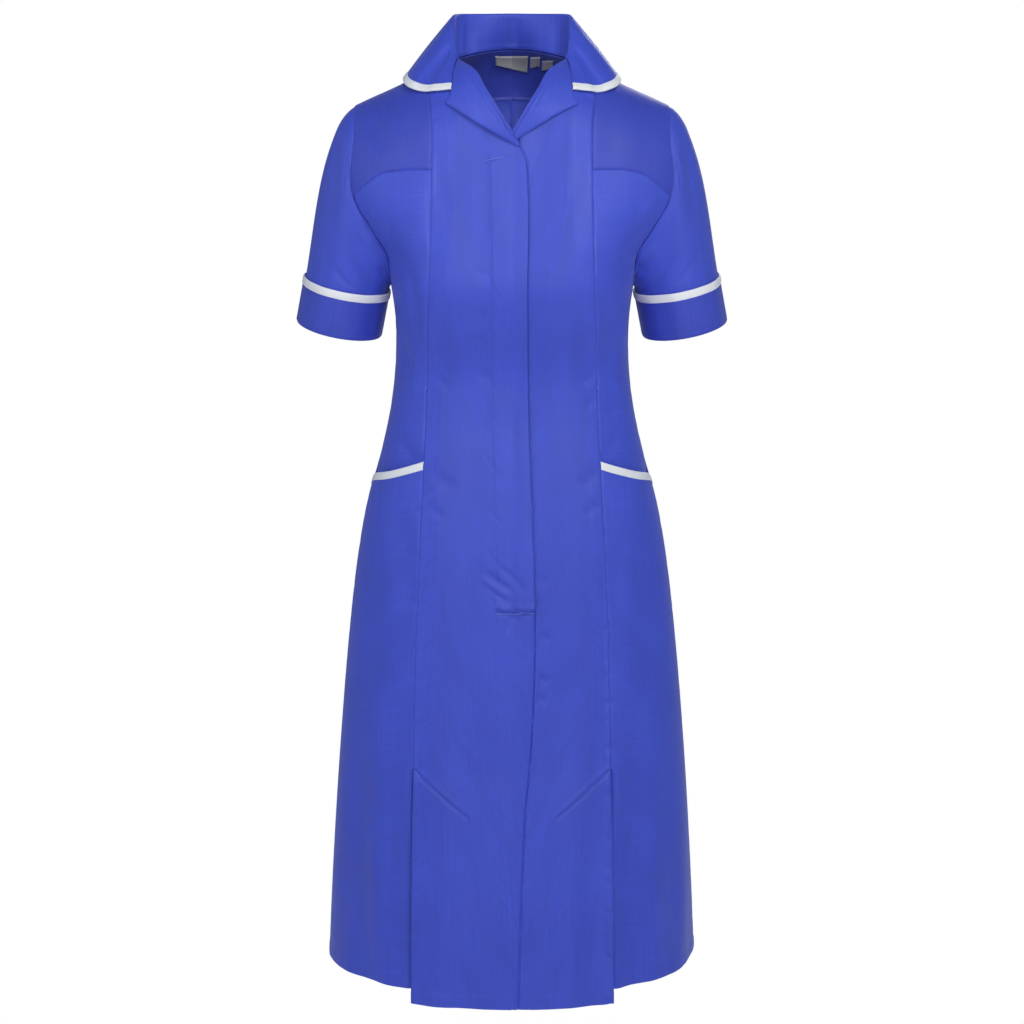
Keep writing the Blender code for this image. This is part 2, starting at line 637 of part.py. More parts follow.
def collar_row(station):
    """Seam, roll top and outer edge at a station counted from the lapel (0) to the back (10)."""
    table = []
    for k, (face, x, z, rx, ry, rz, edge_face, ex, ez) in enumerate(COLLAR):
        seam = skin(face, place_at(face, x, z))
        edge = skin(edge_face, place_at(edge_face, ex, ez), 0.0052)
        table.append((float(k), *seam, rx, ry, rz, *edge))
    past_middle = [-v if n in (0, 3, 6) else v for n, v in enumerate(table[-2][1:])]
    table.append((float(len(COLLAR)), *past_middle))
    values = [smooth(table, column, station) for column in range(1, 10)]
    return [np.array(values[n:n + 3]) for n in (0, 3, 6)]


def meridian(station):
    """The collar's outer side from the neck seam up the stand, over the roll and down the fall."""
    seam, top, edge = collar_row(station)
    seam = seam + np.array([0, 0, 0.0009])
    inward, outward = unit(seam - top), unit(edge - top)
    up = -unit(inward + outward)
    side = unit(outward - inward)
    centre = top - up * ROLL_RADIUS
    arc = [centre + ROLL_RADIUS * (math.cos(t) * side + math.sin(t) * up)
           for t in np.radians([165, 125, 90, 55, 15])]
    bulge = 0.004 * unit(up + np.array([0, 0, 0.4]))
    fall = [arc[-1] + (edge - arc[-1]) * s + bulge * 4 * s * (1 - s) for s in (0.2, 0.45, 0.7, 0.89, 1.0)]
    return np.array([seam, (seam + arc[0]) / 2] + arc + fall)


def collar(name, binding_name):
    half = np.array([meridian(station) for station in np.linspace(0, 10, COLLAR_STEPS + 1)])
    flip = np.array([-1, 1, 1])
    whole = np.concatenate([half, half[-2::-1] * flip])
    points = whole.transpose(1, 0, 2)
    normals = grid_normals(points)
    normals *= np.sign((normals[-1, COLLAR_STEPS] @ np.array([0, 1, 1])))
    points = clear_seams(points, "io")
    cloth(name, points, normals, CLOTH, fabric(name, ROYAL_BLUE))
    inward = points[-2] - points[-1]
    inward /= np.linalg.norm(inward, axis=1, keepdims=True)
    tape = wrap(points[-1], inward, normals[-1], CLOTH + SEAM_GAP, 0.0040)
    tape_normals = grid_normals(tape)
    tape_normals *= np.sign(tape_normals[0, COLLAR_STEPS] @ normals[-1, COLLAR_STEPS])
    cloth(binding_name, tape, tape_normals, TAPE, fabric(binding_name, WHITE))


# ---- sleeves -----------------------------------------------------------------------
def ring_turns():
    """The armhole's stations all round: top, front, underarm, back and top again."""
    return FRONT_TURNS + [2 * math.pi - turn for turn in BACK_TURNS[-2::-1]]


def cuff_ring(along, out):
    """A ring of the sleeve so far down from the cuff's top, so far outside the sleeve."""
    axis = unit(np.array(SLEEVE_AXIS))
    across = unit(np.array([1.0, 0, 0]) - axis[0] * axis)
    front = np.cross(across, axis)
    front *= -np.sign(front[1])
    centre = np.array(CUFF_TOP) + axis * along
    turns = ring_turns()
    return np.array([centre + across * math.cos(t) * (SLEEVE_HALF_WIDTH + out)
                     + front * math.sin(t) * (SLEEVE_HALF_DEPTH + out) for t in turns])


def sleeve(name, cuff_name, binding_name, side):
    axis = unit(np.array(SLEEVE_AXIS))
    end = cuff_ring(0.0, 0.0)
    rows = []
    for s in (0.0, 0.12, 0.3, 0.52, 0.76, 1.0):
        ring = []
        for k, turn in enumerate(ring_turns()):
            face = FRONT if turn <= math.pi else BACK
            start = bare_skin(face, *armhole_place(face, min(turn, 2 * math.pi - turn)))
            start = start + np.array([0.0006 + 0.0006 * max(math.cos(turn), 0), 0, 0])
            reach = np.linalg.norm(end[k] - start)
            out = 0.42 + 0.33 * math.cos(turn)
            leave = unit(np.array([out, 0, -(1 - 0.45 * out)])) * reach * 0.8
            arrive = axis * reach * 0.9
            ring.append(start * (1 + 2 * s) * (1 - s) ** 2 + end[k] * s * s * (3 - 2 * s)
                        + leave * s * (1 - s) ** 2 - arrive * s * s * (1 - s))
        rows.append(ring)
    points = np.array(rows + [cuff_ring(CUFF_LENGTH / 2, 0), cuff_ring(CUFF_LENGTH, 0)])
    cloth(name, points, outward(points), CLOTH, fabric(name, ROYAL_BLUE), True, side)
    off = CLOTH + SEAM_GAP
    turned = np.array([cuff_ring(a, off) for a in (0.0025, CUFF_LENGTH / 2, CUFF_LENGTH + 0.0008)])
    cloth(cuff_name, turned, outward(turned), CLOTH, fabric(cuff_name, DARK_ROYAL), True, side)
    down = np.repeat(axis[None, :], len(end), axis=0)
    tape = wrap(turned[0], down, outward(turned)[0], CLOTH, 0)
    cloth(binding_name, tape, outward(tape), TAPE, fabric(binding_name, WHITE), True, side)


def outward(points):
    """Normals of a tube of points that point away from its inside."""
    normals = grid_normals(points, closed=True)
    middle = points[:, :-1].mean(axis=1, keepdims=True)
    facing = np.sum(normals[0] * (points - middle)[0])
    return normals * np.sign(facing)


# ---- labels ------------------------------------------------------------------------
def label(name, left_x, right_x, top, length, slant=0.0):
    """A blank label hanging inside the back neck, on the yoke's inner side."""
    rows = []
    for i in range(3):
        line = []
        for j in range(4):
            x = left_x + (right_x - left_x) * j / 3
            down = (length + slant * j / 3) * i / 2
            angle, girth = place_at(BACK, x, top)
            line.append((angle, girth + down))
        rows.append(line)
    places = np.array(rows)
    clear = CLOTH + 5 * SEAM_GAP
    points, normals = on_skin(BACK, places, lambda point: -clear)
    cloth(name, points, normals, TAPE, fabric(name, LABEL_GREY))


# ---- build -------------------------------------------------------------------------
for leftover in list(bpy.data.objects):
    bpy.data.objects.remove(leftover, do_unlink=True)
collection = bpy.data.collections.new("nurse_uniform_dress")
bpy.context.scene.collection.children.link(collection)

for hand, sign in (("right", -1), ("left", 1)):
    lapel(f"lapel_{hand}", sign)
    shoulder_panel(f"shoulder_panel_{hand}", sign)
    side_front(f"side_front_{hand}", sign)
    side_skirt(f"side_skirt_{hand}", f"pocket_binding_{hand}", sign)
    back_panel(f"back_{hand}", sign)
    sleeve(f"sleeve_{hand}", f"cuff_{hand}", f"cuff_binding_{hand}", sign)
right_front("front_right")
left_front("front_left")
back_yoke("back_yoke")
collar("collar", "collar_binding")
label("neck_label", -0.0205, 0.0195, 0.0060, 0.0150, slant=0.0080)
label("size_tab_a", 0.0225, 0.0335, 0.0050, 0.0190)
label("size_tab_b", 0.0360, 0.0480, 0.0010, 0.0180)
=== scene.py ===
"""Nurse uniform dress, filled out and empty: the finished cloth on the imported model.

Metres, +Z up, the front faces -Y and the wearer's left is +X. The sections follow the dress as it
is put together: studio, front, side panels, lapels, collar, sleeves, back and labels.
"""

import math

import bmesh
import bpy
import numpy as np
from mathutils import Matrix, Vector


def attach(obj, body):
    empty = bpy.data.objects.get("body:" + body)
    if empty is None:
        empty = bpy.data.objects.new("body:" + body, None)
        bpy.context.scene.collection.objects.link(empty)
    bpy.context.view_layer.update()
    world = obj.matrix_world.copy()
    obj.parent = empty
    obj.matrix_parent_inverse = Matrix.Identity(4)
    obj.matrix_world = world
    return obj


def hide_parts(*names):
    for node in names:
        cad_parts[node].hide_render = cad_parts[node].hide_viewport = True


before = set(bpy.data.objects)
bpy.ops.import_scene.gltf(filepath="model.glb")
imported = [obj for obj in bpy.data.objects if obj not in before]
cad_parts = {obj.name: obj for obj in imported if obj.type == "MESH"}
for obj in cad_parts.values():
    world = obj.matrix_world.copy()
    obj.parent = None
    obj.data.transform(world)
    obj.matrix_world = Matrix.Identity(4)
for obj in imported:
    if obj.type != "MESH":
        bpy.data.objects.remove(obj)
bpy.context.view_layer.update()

# ---- studio ------------------------------------------------------------------------
# A pale floor that the empty dress stands over as if worn, a white surround, and big soft lamps
# in front, on both sides and behind. The camera looks a little down on the middle of the dress.
CAMERA_DISTANCE = 2.80
CAMERA_TILT = math.radians(10)
DRESS_MIDDLE = Vector((0.0, 0.0, -0.5162))
FLOOR_HEIGHT = -1.42

camera = bpy.data.objects.new("camera", bpy.data.cameras.new("camera"))
camera.data.lens = 85
camera.data.sensor_width = 36
camera.location = DRESS_MIDDLE + CAMERA_DISTANCE * Vector((0, -math.cos(CAMERA_TILT), math.sin(CAMERA_TILT)))
camera.rotation_euler = (math.pi / 2 - CAMERA_TILT, 0, 0)
bpy.context.scene.collection.objects.link(camera)
bpy.context.scene.camera = camera
bpy.context.scene.view_settings.view_transform = "Standard"

# name, place, what it points at, side of the square, watts, colour
LAMPS = [
    ("front_softbox", (0.05, -1.75, 0.20), (0.0, 0.0, -0.22), 0.35, 12.6, (1.0, 1.0, 0.95)),
    ("key_softbox", (0.60, -1.60, 0.95), (0.0, 0.0, -0.25), 0.40, 12.0, (1.0, 1.0, 0.95)),
    ("left_softbox", (-2.3, -1.0, 0.55), (0.0, 0.0, -0.30), 0.9, 15.0, (0.88, 0.94, 1.0)),
    ("right_softbox", (2.3, -1.2, 0.50), (0.0, 0.0, -0.30), 1.2, 9.0, (0.88, 0.94, 1.0)),
    ("back_softbox", (0.5, 2.5, 0.60), (0.0, 0.0, -0.40), 1.2, 26.0, (1.0, 1.0, 1.0)),
]
for name, place, aim, side, watts, colour in LAMPS:
    lamp = bpy.data.objects.new(name, bpy.data.lights.new(name, "AREA"))
    lamp.data.size = side
    lamp.data.energy = watts
    lamp.data.color = colour
    lamp.visible_camera = False
    lamp.location = place
    lamp.rotation_euler = (Vector(aim) - Vector(place)).to_track_quat("-Z", "Y").to_euler()
    bpy.context.scene.collection.objects.link(lamp)

surround = bpy.data.worlds.new("surround")
bpy.context.scene.world = surround
surround.use_nodes = True
sky = surround.node_tree
seen = sky.nodes.new("ShaderNodeLightPath")
white = sky.nodes.new("ShaderNodeBackground")
soft = sky.nodes.new("ShaderNodeBackground")
white.inputs["Color"].default_value = (1, 1, 1, 1)
white.inputs["Strength"].default_value = 1.0
soft.inputs["Color"].default_value = (0.54, 0.68, 1, 1)
soft.inputs["Strength"].default_value = 0.24
blend = sky.nodes.new("ShaderNodeMixShader")
sky.links.new(seen.outputs["Is Camera Ray"], blend.inputs[0])
sky.links.new(soft.outputs[0], blend.inputs[1])
sky.links.new(white.outputs[0], blend.inputs[2])
sky.links.new(blend.outputs[0], sky.nodes["World Output"].inputs[0])

bm = bmesh.new()
bmesh.ops.create_grid(bm, x_segments=1, y_segments=1, size=20)
bmesh.ops.translate(bm, verts=bm.verts[:], vec=(0, 0, FLOOR_HEIGHT))
floor = bpy.data.objects.new("floor", bpy.data.meshes.new("floor"))
bm.to_mesh(floor.data)
bm.free()
bpy.context.scene.collection.objects.link(floor)
paint = bpy.data.materials.new("pale_floor")
paint.use_nodes = True
ground = paint.node_tree
matt = ground.nodes["Principled BSDF"]
matt.inputs["Base Color"].default_value = (0.82, 0.82, 0.84, 1)
matt.inputs["Roughness"].default_value = 0.9
matt.inputs["Emission Color"].default_value = (1, 1, 1, 1)
matt.inputs["Emission Strength"].default_value = 0.10
glow = ground.nodes.new("ShaderNodeEmission")
place = ground.nodes.new("ShaderNodeTexCoord")
reach = ground.nodes.new("ShaderNodeVectorMath")
reach.operation = "LENGTH"
fade = ground.nodes.new("ShaderNodeMapRange")
fade.interpolation_type = "SMOOTHSTEP"
fade.inputs["From Min"].default_value = 0.15
fade.inputs["From Max"].default_value = 0.66
flat_from_above = ground.nodes.new("ShaderNodeVectorMath")
flat_from_above.operation = "MULTIPLY"
flat_from_above.inputs[1].default_value = (1, 1, 0)
seen_floor = ground.nodes.new("ShaderNodeLightPath")
both = ground.nodes.new("ShaderNodeMath")
both.operation = "MULTIPLY"
mixed_floor = ground.nodes.new("ShaderNodeMixShader")
ground.links.new(place.outputs["Object"], flat_from_above.inputs[0])
ground.links.new(flat_from_above.outputs[0], reach.inputs[0])
ground.links.new(reach.outputs["Value"], fade.inputs["Value"])
ground.links.new(fade.outputs[0], both.inputs[0])
ground.links.new(seen_floor.outputs["Is Camera Ray"], both.inputs[1])
ground.links.new(both.outputs[0], mixed_floor.inputs[0])
ground.links.new(matt.outputs[0], mixed_floor.inputs[1])
ground.links.new(glow.outputs[0], mixed_floor.inputs[2])
ground.links.new(mixed_floor.outputs[0], ground.nodes["Material Output"].inputs[0])
floor.data.materials.append(paint)


# ---- royal twill -------------------------------------------------------------------
# The dress is cut from a polyester and cotton twill, royal blue, mid weight, with a fine steep
# rib and a soft sheen. A darker copy of the same twill, on the shoulder panels, yoke and cuffs, is painted shade.
class Value:
    """A number in a shader that takes part in Python arithmetic."""

    def __init__(self, tree, socket):
        self.tree = tree
        self.socket = socket

    def math(self, operation, *terms):
        node = self.tree.nodes.new("ShaderNodeMath")
        node.operation = operation
        for slot, term in zip(node.inputs, terms):
            if isinstance(term, Value):
                self.tree.links.new(term.socket, slot)
            else:
                slot.default_value = term
        return Value(self.tree, node.outputs[0])

    def __add__(self, other):
        return self.math("ADD", self, other)

    def __radd__(self, other):
        return self.math("ADD", other, self)

    def __sub__(self, other):
        return self.math("SUBTRACT", self, other)

    def __rsub__(self, other):
        return self.math("SUBTRACT", other, self)

    def __mul__(self, other):
        return self.math("MULTIPLY", self, other)

    def __rmul__(self, other):
        return self.math("MULTIPLY", other, self)

    def __truediv__(self, other):
        return self.math("DIVIDE", self, other)


class Finish:
    """A material that is built node by node round one Principled shader."""

    def __init__(self, name, **constants):
        self.material = bpy.data.materials.new(name)
        self.material.use_nodes = True
        self.tree = self.material.node_tree
        self.shader = self.tree.nodes["Principled BSDF"]
        for socket, value in constants.items():
            self.shader.inputs[socket.replace("_", " ")].default_value = value

    def node(self, kind, output=0, settings=None, **inputs):
        """One node of a type, with its settings, and its sockets set or linked."""
        made = self.tree.nodes.new("ShaderNode" + kind)
        for key, value in (settings or {}).items():
            setattr(made, key, value)
        for key, value in inputs.items():
            socket = made.inputs[int(key[1:])] if key[0] == "n" and key[1:].isdigit() else made.inputs[key.replace("_", " ")]
            if isinstance(value, Value):
                self.tree.links.new(value.socket, socket)
            else:
                socket.default_value = value
        return Value(self.tree, made.outputs[output])

    def feed(self, socket, value):
        self.tree.links.new(value.socket, self.shader.inputs[socket])


def twill(name, colour, rib=0.00075, rib_height=0.00010, streak=0.055):
    """Woven cloth on a UV map in metres: a steep rib, uneven yarns and faint shade changes."""
    finish = Finish(name, Specular_IOR_Level=0.50, Sheen_Weight=0.12, Sheen_Roughness=0.42,
                    Sheen_Tint=(0.72, 0.78, 1.0, 1.0))
    place = finish.node("UVMap", settings={"uv_map": "cut"})
    across = finish.node("SeparateXYZ", Vector=place)
    down = Value(finish.tree, across.socket.node.outputs[1])
    rib_turn = (across * 0.89 + down * 0.45) * (2 * math.pi / rib)
    ribs = finish.node("Math", settings={"operation": "SINE"}, n0=rib_turn) * 0.5 + 0.5
    yarn_place = finish.node("Mapping", Vector=place, Scale=(560, 15, 1))
    yarns = finish.node("TexNoise", Vector=yarn_place, Scale=1.0, Detail=2.0, Roughness=0.55)
    weft_place = finish.node("Mapping", Vector=place, Scale=(22, 480, 1))
    wefts = finish.node("TexNoise", Vector=weft_place, Scale=1.0, Detail=1.0, Roughness=0.5)
    clouds = finish.node("TexNoise", Vector=place, Scale=14.0, Detail=3.0, Roughness=0.5)
    shade = ((yarns - 0.5) * 10.0 + (wefts - 0.5) * 7.0 + (clouds - 0.5) * 8.0) * streak + (ribs - 0.5) * 0.08
    lighter = tuple(min(c * 1.30, 1.0) for c in colour[:3]) + (1.0,)
    darker = tuple(c * 0.70 for c in colour[:3]) + (1.0,)
    mixed = finish.node("Mix", output=2, settings={"data_type": "RGBA"}, n0=shade + 0.5, n6=darker, n7=lighter)
    finish.feed("Base Color", mixed)
    finish.feed("Roughness", (clouds - 0.5) * 0.16 + 0.56)
    height = ribs * 0.6 + yarns * 0.6 + wefts * 0.3
    bump = finish.node("Bump", Strength=0.8, Distance=rib_height, Height=height)
    finish.feed("Normal", bump)
    return finish.material


ROYAL = (0.044, 0.074, 0.540, 1.0)
# the second, darker blue is the same cloth, darkened as painted shade for the shoulder panels, yoke and cuffs
ROYAL_PAINTED_SHADE = (0.038, 0.060, 0.460, 1.0)
royal_twill = twill("royal_twill", ROYAL)
royal_twill_painted_shade = twill("twill_darkened_as_painted_shade", ROYAL_PAINTED_SHADE)


# ---- fronts ------------------------------------------------------------------------
# The two centre fronts of single twill run from shoulder to hem, the right lapping over the left
# down to a bar tack. Each hangs on the form that the whole dress fills out. A place on the form
# is (angle, girth): angle round the body from the side seam, girth of cloth from the shoulder.
NECK_HALF = 0.063
SHOULDER_SLOPE = 0.461
SHOULDER_REACH = 0.195
FRONT, BACK = -1, 1
ROUNDING = {FRONT: 0.080, BACK: 0.100}
HEM = -1.0400
CENTRE_HEM = -1.0540
PLACKET_END = -0.608
PLEAT_TOP = -0.790
WALL = 0.0011
SEAM_STEPS = (0.0, 0.0005, 0.0011, 0.0019, 0.0030, 0.0045, 0.0064)
PANEL_STEP = 0.0036

# height, half width, front depth, back depth, squareness of the level section
SECTIONS = [
    (0.060, 0.1950, 0.095, 0.112, 2.30),
    (-0.080, 0.1950, 0.097, 0.108, 2.30),
    (-0.150, 0.1955, 0.108, 0.112, 2.30),
    (-0.190, 0.1640, 0.117, 0.111, 2.45),
    (-0.215, 0.1440, 0.124, 0.110, 2.60),
    (-0.250, 0.1378, 0.128, 0.107, 2.60),
    (-0.290, 0.1330, 0.120, 0.099, 2.50),
    (-0.340, 0.1332, 0.103, 0.088, 2.35),
    (-0.390, 0.1388, 0.103, 0.089, 2.30),
    (-0.440, 0.1495, 0.110, 0.102, 2.30),
    (-0.500, 0.1665, 0.118, 0.120, 2.30),
    (-0.560, 0.1778, 0.125, 0.130, 2.30),
    (-0.650, 0.1890, 0.132, 0.138, 2.30),
    (-0.790, 0.2015, 0.143, 0.149, 2.30),
    (-0.930, 0.2113, 0.156, 0.161, 2.25),
    (-1.060, 0.2180, 0.170, 0.171, 2.20),
]

# height, distance of the front princess seam from the middle
PRINCESS_SEAM = [
    (0.000, 0.0907), (-0.041, 0.0907), (-0.078, 0.0879), (-0.121, 0.0882), (-0.206, 0.0904),
    (-0.308, 0.0942), (-0.397, 0.0970), (-0.507, 0.1025), (-0.641, 0.1087), (-0.789, 0.1116),
    (-1.060, 0.1118),
]

# height, x of the right front's edge and, below the placket, of the centre seam
FRONT_EDGE = [
    (-0.095, 0.0080), (-0.107, 0.0136), (-0.122, 0.0161), (-0.260, 0.0167), (-0.396, 0.0183),
    (-0.484, 0.0217), (-0.608, 0.0254), (-0.657, 0.0256), (-0.708, 0.0241), (-0.754, 0.0219),
    (-0.794, 0.0186), (-0.835, 0.0148), (-0.876, 0.0129), (-0.977, 0.0088), (-1.060, 0.0072),
]

# x, height of the lapel fold from the roll line's top to where the fronts cross
LAPEL_FOLD = [(0.0585, -0.0040), (0.0390, -0.0165), (0.0280, -0.0345), (0.0170, -0.0520),
              (0.0005, -0.0790)]
UNDER_CROSSING = (0.0080, -0.0670)
CHEST_SEAM = [(0.0882, -0.1205), (0.1076, -0.1200), (0.1260, -0.1215), (0.1446, -0.1255),
              (0.1604, -0.1370), (0.1770, -0.1515)]
POCKET_MOUTH = [(0.0985, -0.4440), (0.1282, -0.4560), (0.1560, -0.4680)]
POCKET_SIDE = -0.4755
POCKET_BOTTOM = -0.610

# the collar from the lapel seam round to the middle of the back. For each station: where its
# seam lies (face, x, height), the top of its roll (x, y, z) and its outer edge (face, x, height)
COLLAR = [
    (FRONT, 0.0585, -0.0040, 0.0600, -0.0375, 0.0010, FRONT, 0.0648, -0.0355),
    (FRONT, 0.0600, -0.0015, 0.0618, -0.0310, 0.0090, FRONT, 0.0820, -0.0375),
    (FRONT, 0.0612, -0.0003, 0.0632, -0.0240, 0.0180, FRONT, 0.1000, -0.0378),
    (FRONT, 0.0620, 0.0001, 0.0642, -0.0160, 0.0270, FRONT, 0.1120, -0.0350),
    (FRONT, 0.0626, 0.0001, 0.0650, -0.0070, 0.0365, FRONT, 0.1178, -0.0292),
    (FRONT, 0.0630, 0.0000, 0.0652, 0.0030, 0.0440, FRONT, 0.1190, -0.0258),
    (BACK, 0.0620, 0.0002, 0.0640, 0.0140, 0.0485, BACK, 0.1155, -0.0290),
    (BACK, 0.0575, 0.0012, 0.0590, 0.0260, 0.0498, BACK, 0.1010, -0.0295),
    (BACK, 0.0470, 0.0040, 0.0480, 0.0390, 0.0503, BACK, 0.0780, -0.0255),
    (BACK, 0.0280, 0.0078, 0.0285, 0.0490, 0.0506, BACK, 0.0450, -0.0195),
    (BACK, 0.0000, 0.0100, 0.0000, 0.0535, 0.0508, BACK, 0.0000, -0.0145),
]


def smooth(table, column, keys):
    """A column of a table at keys of its first column, on a cubic through the rows."""
    rows = sorted(table, key=lambda row: row[0])
    at = np.array([row[0] for row in rows], float)
    value = np.array([row[column] for row in rows], float)
    keys = np.clip(np.asarray(keys, float), at[0], at[-1])
    k = np.clip(np.searchsorted(at, keys) - 1, 0, len(at) - 2)
    step = np.diff(value) / np.diff(at)
    slope = np.concatenate([step[:1], (step[1:] + step[:-1]) / 2, step[-1:]])
    width = at[k + 1] - at[k]
    s = (keys - at[k]) / width
    return (value[k] * (1 + 2 * s) * (1 - s) ** 2 + value[k + 1] * s * s * (3 - 2 * s)
            + width * (slope[k] * s * (1 - s) ** 2 - slope[k + 1] * s * s * (1 - s)))


def shoulder_line(x):
    return SHOULDER_SLOPE * (NECK_HALF - x)


def line_above(angle):
    return shoulder_line(SHOULDER_REACH * np.abs(np.cos(angle)) ** (2 / 2.3))


def form(face, angle, girth):
    """Points of the filled-out form."""
    rounding = ROUNDING[face]
    turn = np.clip(girth / rounding, 0, math.pi / 2)
    below = np.maximum(girth - rounding * math.pi / 2, 0)
    height = line_above(angle) - rounding * (1 - np.cos(turn)) - below
    half_width = smooth(SECTIONS, 1, height)
    depth = smooth(SECTIONS, 2 if face == FRONT else 3, height)
    power = 2 / smooth(SECTIONS, 4, height)
    across, out = np.cos(angle), np.sin(angle)
    x = np.sign(across) * half_width * np.abs(across) ** power
    y = np.sign(out) * face * depth * np.abs(out) ** power
    return np.stack([x, y * np.sin(turn), height], axis=-1)


def unit(vectors):
    return vectors / np.maximum(np.linalg.norm(vectors, axis=-1, keepdims=True), 1e-12)


def form_normal(face, angle, girth):
    girth = np.maximum(girth, 0.0005)
    along = form(face, angle + 0.004, girth) - form(face, angle - 0.004, girth)
    down = form(face, angle, girth + 0.0005) - form(face, angle, girth - 0.0005)
    normal = unit(np.cross(along, down))
    outward = np.stack([np.cos(angle), face * np.sin(angle), np.full_like(angle, 0.4)], axis=-1)
    return normal * np.where(np.sum(normal * outward, axis=-1, keepdims=True) > 0, 1, -1)


def girth_at(face, angle, height):
    rounding = ROUNDING[face]
    fall = np.maximum(line_above(angle) - height, 0)
    rounded = rounding * np.arccos(np.clip(1 - fall / rounding, 0, 1))
    return np.where(fall < rounding, rounded, fall + rounding * (math.pi / 2 - 1))


def place_at(face, x, height):
    """The form's places at an x and a height, as rows of (angle, girth)."""
    x, height = np.broadcast_arrays(np.asarray(x, float), np.asarray(height, float))
    share = np.clip(np.abs(x) / smooth(SECTIONS, 1, height), 0, 1)
    angle = np.arccos(share ** (smooth(SECTIONS, 4, height) / 2))
    angle = np.where(x >= 0, angle, math.pi - angle)
    return np.stack([angle, girth_at(face, angle, height)], axis=-1)


def curve(face, places):
    """A smooth line through places of the form, as a function of the share of its length."""
    places = np.asarray(places, float)
    chords = np.linalg.norm(np.diff(form(face, places[:, 0], places[:, 1]), axis=0), axis=1)
    knots = np.concatenate([[0], np.cumsum(np.maximum(chords, 1e-7))])
    table = list(zip(knots, places[:, 0], places[:, 1]))
    fine = np.linspace(0, knots[-1], 240)
    angle, girth = smooth(table, 1, fine), smooth(table, 2, fine)
    lengths = np.linalg.norm(np.diff(form(face, angle, girth), axis=0), axis=1)
    shares = np.concatenate([[0], np.cumsum(lengths)]) / lengths.sum()
    return lambda s: np.stack([np.interp(s, shares, angle), np.interp(s, shares, girth)], axis=-1)


def spots(face, pairs):
    """A smooth line through (x, height) spots."""
    steps = np.arange(len(pairs))
    table = [(k, x, z) for k, (x, z) in enumerate(pairs)]
    fine = np.linspace(0, steps[-1], 16 * len(pairs))
    return curve(face, place_at(face, smooth(table, 1, fine), smooth(table, 2, fine)))


def joined(face, *lines):
    """Lines one after the other."""
    return curve(face, np.concatenate([line(np.linspace(0, 1, 60)) for line in lines]))


def by_row(heights, place):
    """A seam whose rows lie at listed heights or turns."""
    marks = np.linspace(0, 1, len(heights))
    return lambda v: place(np.interp(v, marks, heights))


def then(first, first_rows, second, second_rows):
    """A seam that runs on into another."""
    turn = first_rows / (first_rows + second_rows)
    return lambda v: np.where((np.asarray(v) <= turn)[..., None], first(np.minimum(v / turn, 1)),
                              second(np.clip((v - turn) / (1 - turn), 0, 1)))


def shares(length, step=PANEL_STEP):
    """Shares of a length: even steps, and finer ones beside the seams at both ends."""
    edge = np.array([s for s in SEAM_STEPS if s < length * 0.3])
    count = max(int(round((length - 2 * edge[-1]) / step)), 1)
    middle = np.linspace(edge[-1], length - edge[-1], count + 1)
    return np.concatenate([edge[:-1], middle, (length - edge[:-1])[::-1]]) / length


class Panel:
    """A cut piece on the form, between four lines that share their corners."""

    def __init__(self, face, inner, outer, top, bottom, step=PANEL_STEP, across=None):
        fine = np.linspace(0, 1, 400)
        seam = np.concatenate([inner(fine)[None], outer(fine)[None]])
        lengths = np.linalg.norm(np.diff(form(face, seam[..., 0], seam[..., 1]), axis=1), axis=2).max(0)
        run = np.concatenate([[0], np.cumsum(lengths)])
        self.v = np.interp(shares(run[-1], step) * run[-1], run, fine)
        widths = [np.linalg.norm(np.diff(form(face, *line(fine).T), axis=0), axis=1).sum()
                  for line in (top, bottom)]
        self.u = shares(max(widths), step) if across is None else across
        u, v = self.u[None, :, None], self.v[:, None, None]
        a, b, c, d = inner(self.v)[:, None], outer(self.v)[:, None], top(self.u)[None], bottom(self.u)[None]
        corners = ((1 - u) * (1 - v) * top(0.0) + u * (1 - v) * top(1.0)
                   + (1 - u) * v * bottom(0.0) + u * v * bottom(1.0))
        self.places = (1 - u) * a + u * b + (1 - v) * c + v * d - corners
        self.base = form(face, self.places[..., 0], self.places[..., 1])
        self.normals = form_normal(face, self.places[..., 0], self.places[..., 1])
        self.measure()
        self.lift = np.zeros(self.base.shape[:2])

    def measure(self):
        """Lengths of cloth from each edge, and the cut's own coordinates in metres."""
        across = np.linalg.norm(np.diff(self.base, axis=1), axis=2)
        down = np.linalg.norm(np.diff(self.base, axis=0), axis=2)
        self.from_inner = np.concatenate([np.zeros((len(self.base), 1)), np.cumsum(across, axis=1)], axis=1)
        self.from_outer = self.from_inner[:, -1:] - self.from_inner
        self.from_top = np.concatenate([np.zeros((1, self.base.shape[1])), np.cumsum(down, axis=0)])
        self.from_bottom = self.from_top[-1:] - self.from_top
        self.cut = np.stack([self.from_inner, -self.from_top], axis=-1)

    @property
    def x(self):
        return self.base[..., 0]

    @property
    def z(self):
        return self.base[..., 2]

    @property
    def points(self):
        return self.base + self.lift[..., None] * self.normals


def seam_roll(distance, depth=0.0011, width=0.0014):
    """Cloth turns in where it is seamed."""
    return -depth * np.exp(-(distance / width) ** 2)


def puckers(distance, along, depth, reach, phase):
    """Short dimples where a stitched seam has drawn the cloth up, uneven along it."""
    wave = (np.sin(along * 2 * math.pi / 0.0171 + phase) + 0.8 * np.sin(along * 2 * math.pi / 0.0263 + 2.3 * phase)
            + 0.7 * np.sin(along * 2 * math.pi / 0.0467 + 1.1 * phase))
    fade = np.exp(-(distance / reach) ** 2) * (1 - np.exp(-(distance / 0.0012) ** 2))
    return -depth * np.maximum(wave - 0.4, 0) * fade


